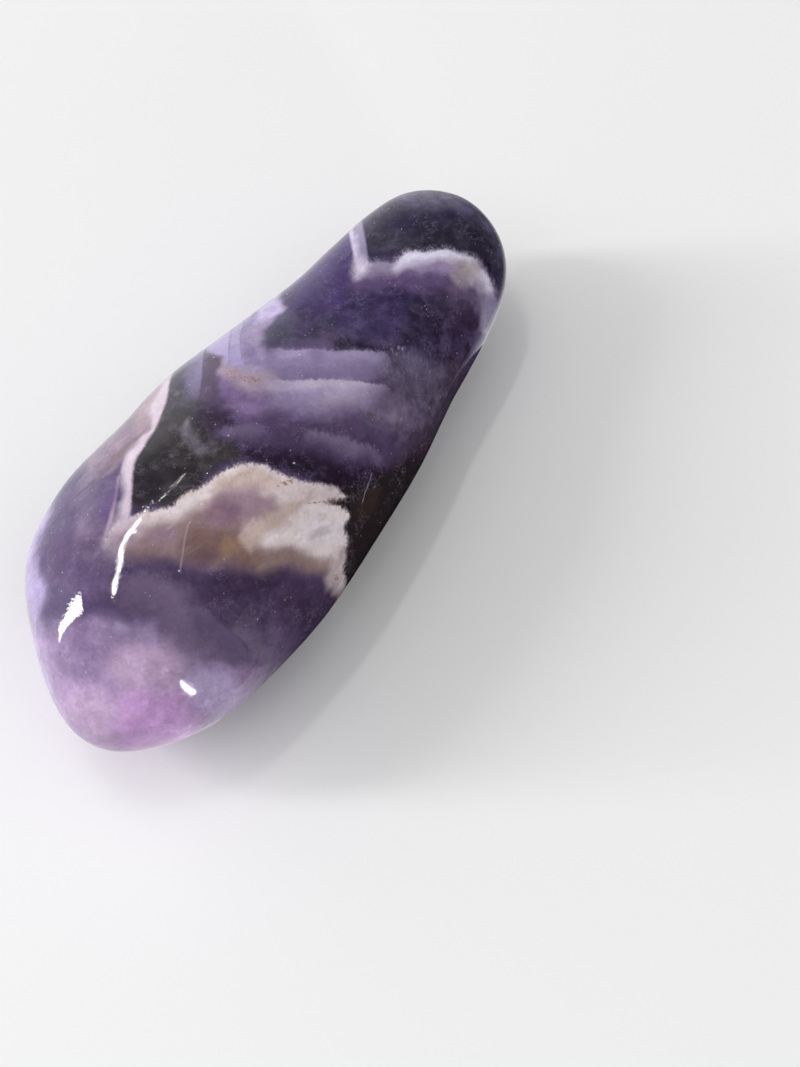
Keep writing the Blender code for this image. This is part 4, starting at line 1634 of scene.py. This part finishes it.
def smooth_ramp(graph, source, low, high, to_low, to_high):
    """A smooth way from one value to another, in any material's or world's nodes."""
    node = graph.nodes.new("ShaderNodeMapRange")
    node.interpolation_type = "SMOOTHSTEP"
    for socket, given in zip(node.inputs[1:5], (low, high, to_low, to_high)):
        socket.default_value = given
    graph.links.new(source, node.inputs[0])
    return node.outputs[0]


def painted_shade_finish(name):
    """Painted shade for the polish: matt card, pale on the left and dark on the right."""
    finish = bpy.data.materials.new(name)
    finish.use_nodes = True
    graph = finish.node_tree
    sheet = graph.nodes["Principled BSDF"]
    place = graph.nodes.new("ShaderNodeTexCoord")
    parts = graph.nodes.new("ShaderNodeSeparateXYZ")
    graph.links.new(place.outputs["Object"], parts.inputs[0])
    turn_start, turn_end = CARD_TURN
    shade = smooth_ramp(graph, parts.outputs["X"], turn_start * MM, turn_end * MM, CARD_PALE, CARD_DARK)
    graph.links.new(shade, sheet.inputs["Base Color"])
    sheet.inputs["Specular IOR Level"].default_value = 0.0
    return finish


def painted_shade_card(name, corners):
    """A sheet of painted shade through four corners, which neither the camera nor soft light meets."""
    card_mesh = bmesh.new()
    card_mesh.faces.new([card_mesh.verts.new([part * MM for part in corner]) for corner in corners])
    card = flat_object(name, card_mesh, painted_shade_finish(name))
    card.visible_camera = False
    card.visible_diffuse = False
    card.visible_shadow = False


# the lying card paints the floor's shadow into the polish, and the standing one paints shade beyond it
for card_name, card_corners in (("shade_card_lying", CARD_LYING), ("shade_card_standing", CARD_STANDING)):
    painted_shade_card(card_name, card_corners)
    print(card_name, "in mm:", np.ptp(np.array(card_corners), axis=0))

# %% [markdown]
# ## The camera
#
# The camera looks down the grain, from above and to one side, as the stone lies in the photograph. A short
# telephoto lens close to the stone gives the small perspective of a product photograph.

# %% A camera that looks down the grain
CAMERA_DISTANCE = 161.0
CAMERA_AIM = (0.8, -9.3, 6.0)
CAMERA_LENS = 85
CAMERA_NEAR = 0.01

camera_data = bpy.data.cameras.new("camera")
camera_data.lens = CAMERA_LENS
camera_data.clip_start = CAMERA_NEAR
camera = bpy.data.objects.new("camera", camera_data)
_, _, towards_camera = grain_axes()
camera.location = (Vector(CAMERA_AIM) + Vector(towards_camera) * CAMERA_DISTANCE) * MM
camera.rotation_euler = GRAIN_ANGLES
bpy.context.scene.collection.objects.link(camera)
bpy.context.scene.camera = camera
print("camera in mm:", [round(part / MM, 1) for part in camera.location])

# %% [markdown]
# ## Strip lamps
#
# The bright streaks on the polish are mirror images of narrow lamps, and a curved polish bends a straight
# lamp into just such streaks. So each lamp is given by the two directions in which its ends are seen from
# the stone. Its brightness is that of its face, and doesn't change with its size.

# %% Strip lamps, each between two directions seen from the stone
LAMP_DISTANCE = 0.6
STRIP_LAMPS = {
    # where the strip starts and ends, in degrees round from +X and degrees up, its width, its brightness
    "upper_strip": ((75.5, 74), (122, 75), 0.021, 30),
    "upper_tip": ((64.0, 75.0), (65.4, 74.9), 0.004, 120),
    "side_strip": ((130, 3), (124, 43), 0.065, 24),
    "front_strip": ((-109.4, 1), (-113.5, 25), 0.025, 26),
}


def heading(around, up):
    """The unit direction at so many degrees round from +X and so many up."""
    azimuth, elevation = math.radians(around), math.radians(up)
    flat = math.cos(elevation)
    return Vector((math.cos(azimuth) * flat, math.sin(azimuth) * flat, math.sin(elevation)))


def flat_lamp(name, middle, long_way, width, length, brightness):
    """A flat lamp that faces the stone, with its long side along a direction."""
    data = bpy.data.lights.new(name, "AREA")
    data.shape = "RECTANGLE"
    data.size, data.size_y = width, length
    data.energy = brightness * math.pi * width * length
    away = middle.normalized()
    side = long_way.cross(away).normalized()
    item = bpy.data.objects.new(name, data)
    item.matrix_world = Matrix((side, away.cross(side), away)).transposed().to_4x4()
    item.location = middle
    bpy.context.scene.collection.objects.link(item)
    return item


for lamp_name, (first_end, last_end, width, brightness) in STRIP_LAMPS.items():
    first, last = heading(*first_end) * LAMP_DISTANCE, heading(*last_end) * LAMP_DISTANCE
    flat_lamp(lamp_name, (first + last) / 2, last - first, width, (last - first).length, brightness)
print("strip lamps:", ", ".join(STRIP_LAMPS))

# %% [markdown]
# ## Soft lamps
#
# The stone's own colour is lit by broad lamps from the left, the right and above, so no shadow on it is
# hard. They aren't mirrored in the polish, because their images would cover it in white squares.

# %% Broad soft lamps: degrees round from +X, degrees up, and the brightness
SOFT_LAMP_SIZE = 1.3
SOFT_LAMPS = {
    "soft_left": ((127, 58), 0.70),
    "soft_right": ((-53, 50), 0.52),
    "soft_above": ((217, 75), 0.45),
}
LEVEL_WAY = Vector((1, 0, 0))

for lamp_name, (way, brightness) in SOFT_LAMPS.items():
    soft_lamp = flat_lamp(lamp_name, heading(*way), LEVEL_WAY, SOFT_LAMP_SIZE, SOFT_LAMP_SIZE, brightness)
    soft_lamp.visible_glossy = False
print("soft lamps:", ", ".join(SOFT_LAMPS))

# %% [markdown]
# ## The studio
#
# What a polish mirrors between its lamps is the room. This one is pale low down on the left and dark
# overhead and on the right, which gives the left rim its light edge and leaves the top of the stone deep.
# Two smooth ramps over the direction make it, one up and one sideways. What is below the horizon shows only
# in the polish, and stands for the pale sheet's mirror image.

# %% Brightness by direction
BRIGHT_SIDE = heading(around=112, up=0)
PALE_BRIGHTNESS = 0.90
SHEET_GLOW = 0.75
DARK_BRIGHTNESS = 0.05

studio = bpy.data.worlds.new("studio")
studio.use_nodes = True
room = studio.node_tree


def room_node(kind, operation, *links):
    """A node of the room's light, with outputs linked to its inputs in order."""
    node = room.nodes.new(kind)
    if operation:
        node.operation = operation
    for socket, output in zip(node.inputs, links):
        room.links.new(output, socket)
    return node


seen_way = room_node("ShaderNodeTexCoord", None).outputs["Generated"]
height_part = room_node("ShaderNodeSeparateXYZ", None, seen_way).outputs["Z"]
side_part = room_node("ShaderNodeVectorMath", "DOT_PRODUCT", seen_way)
side_part.inputs[1].default_value = BRIGHT_SIDE
low_share = smooth_ramp(room, height_part, 0.1, 0.85, 1.0, 0.0)
side_share = smooth_ramp(room, side_part.outputs["Value"], -0.5, 0.8, 0.0, 1.0)
both_shares = room_node("ShaderNodeMath", "MULTIPLY", low_share, side_share).outputs[0]
room_light = smooth_ramp(room, both_shares, 0.0, 1.0, DARK_BRIGHTNESS, PALE_BRIGHTNESS)
sheet_glow = smooth_ramp(room, height_part, -0.95, -0.4, SHEET_GLOW, 0.0)
studio_strength = room_node("ShaderNodeMath", "MAXIMUM", room_light, sheet_glow).outputs[0]
room.nodes["Background"].inputs["Color"].default_value = (1, 1, 1, 1)
room.links.new(studio_strength, room.nodes["Background"].inputs["Strength"])
bpy.context.scene.world = studio
bpy.context.scene.view_settings.view_transform = "Standard"
print("studio nodes:", len(room.nodes))
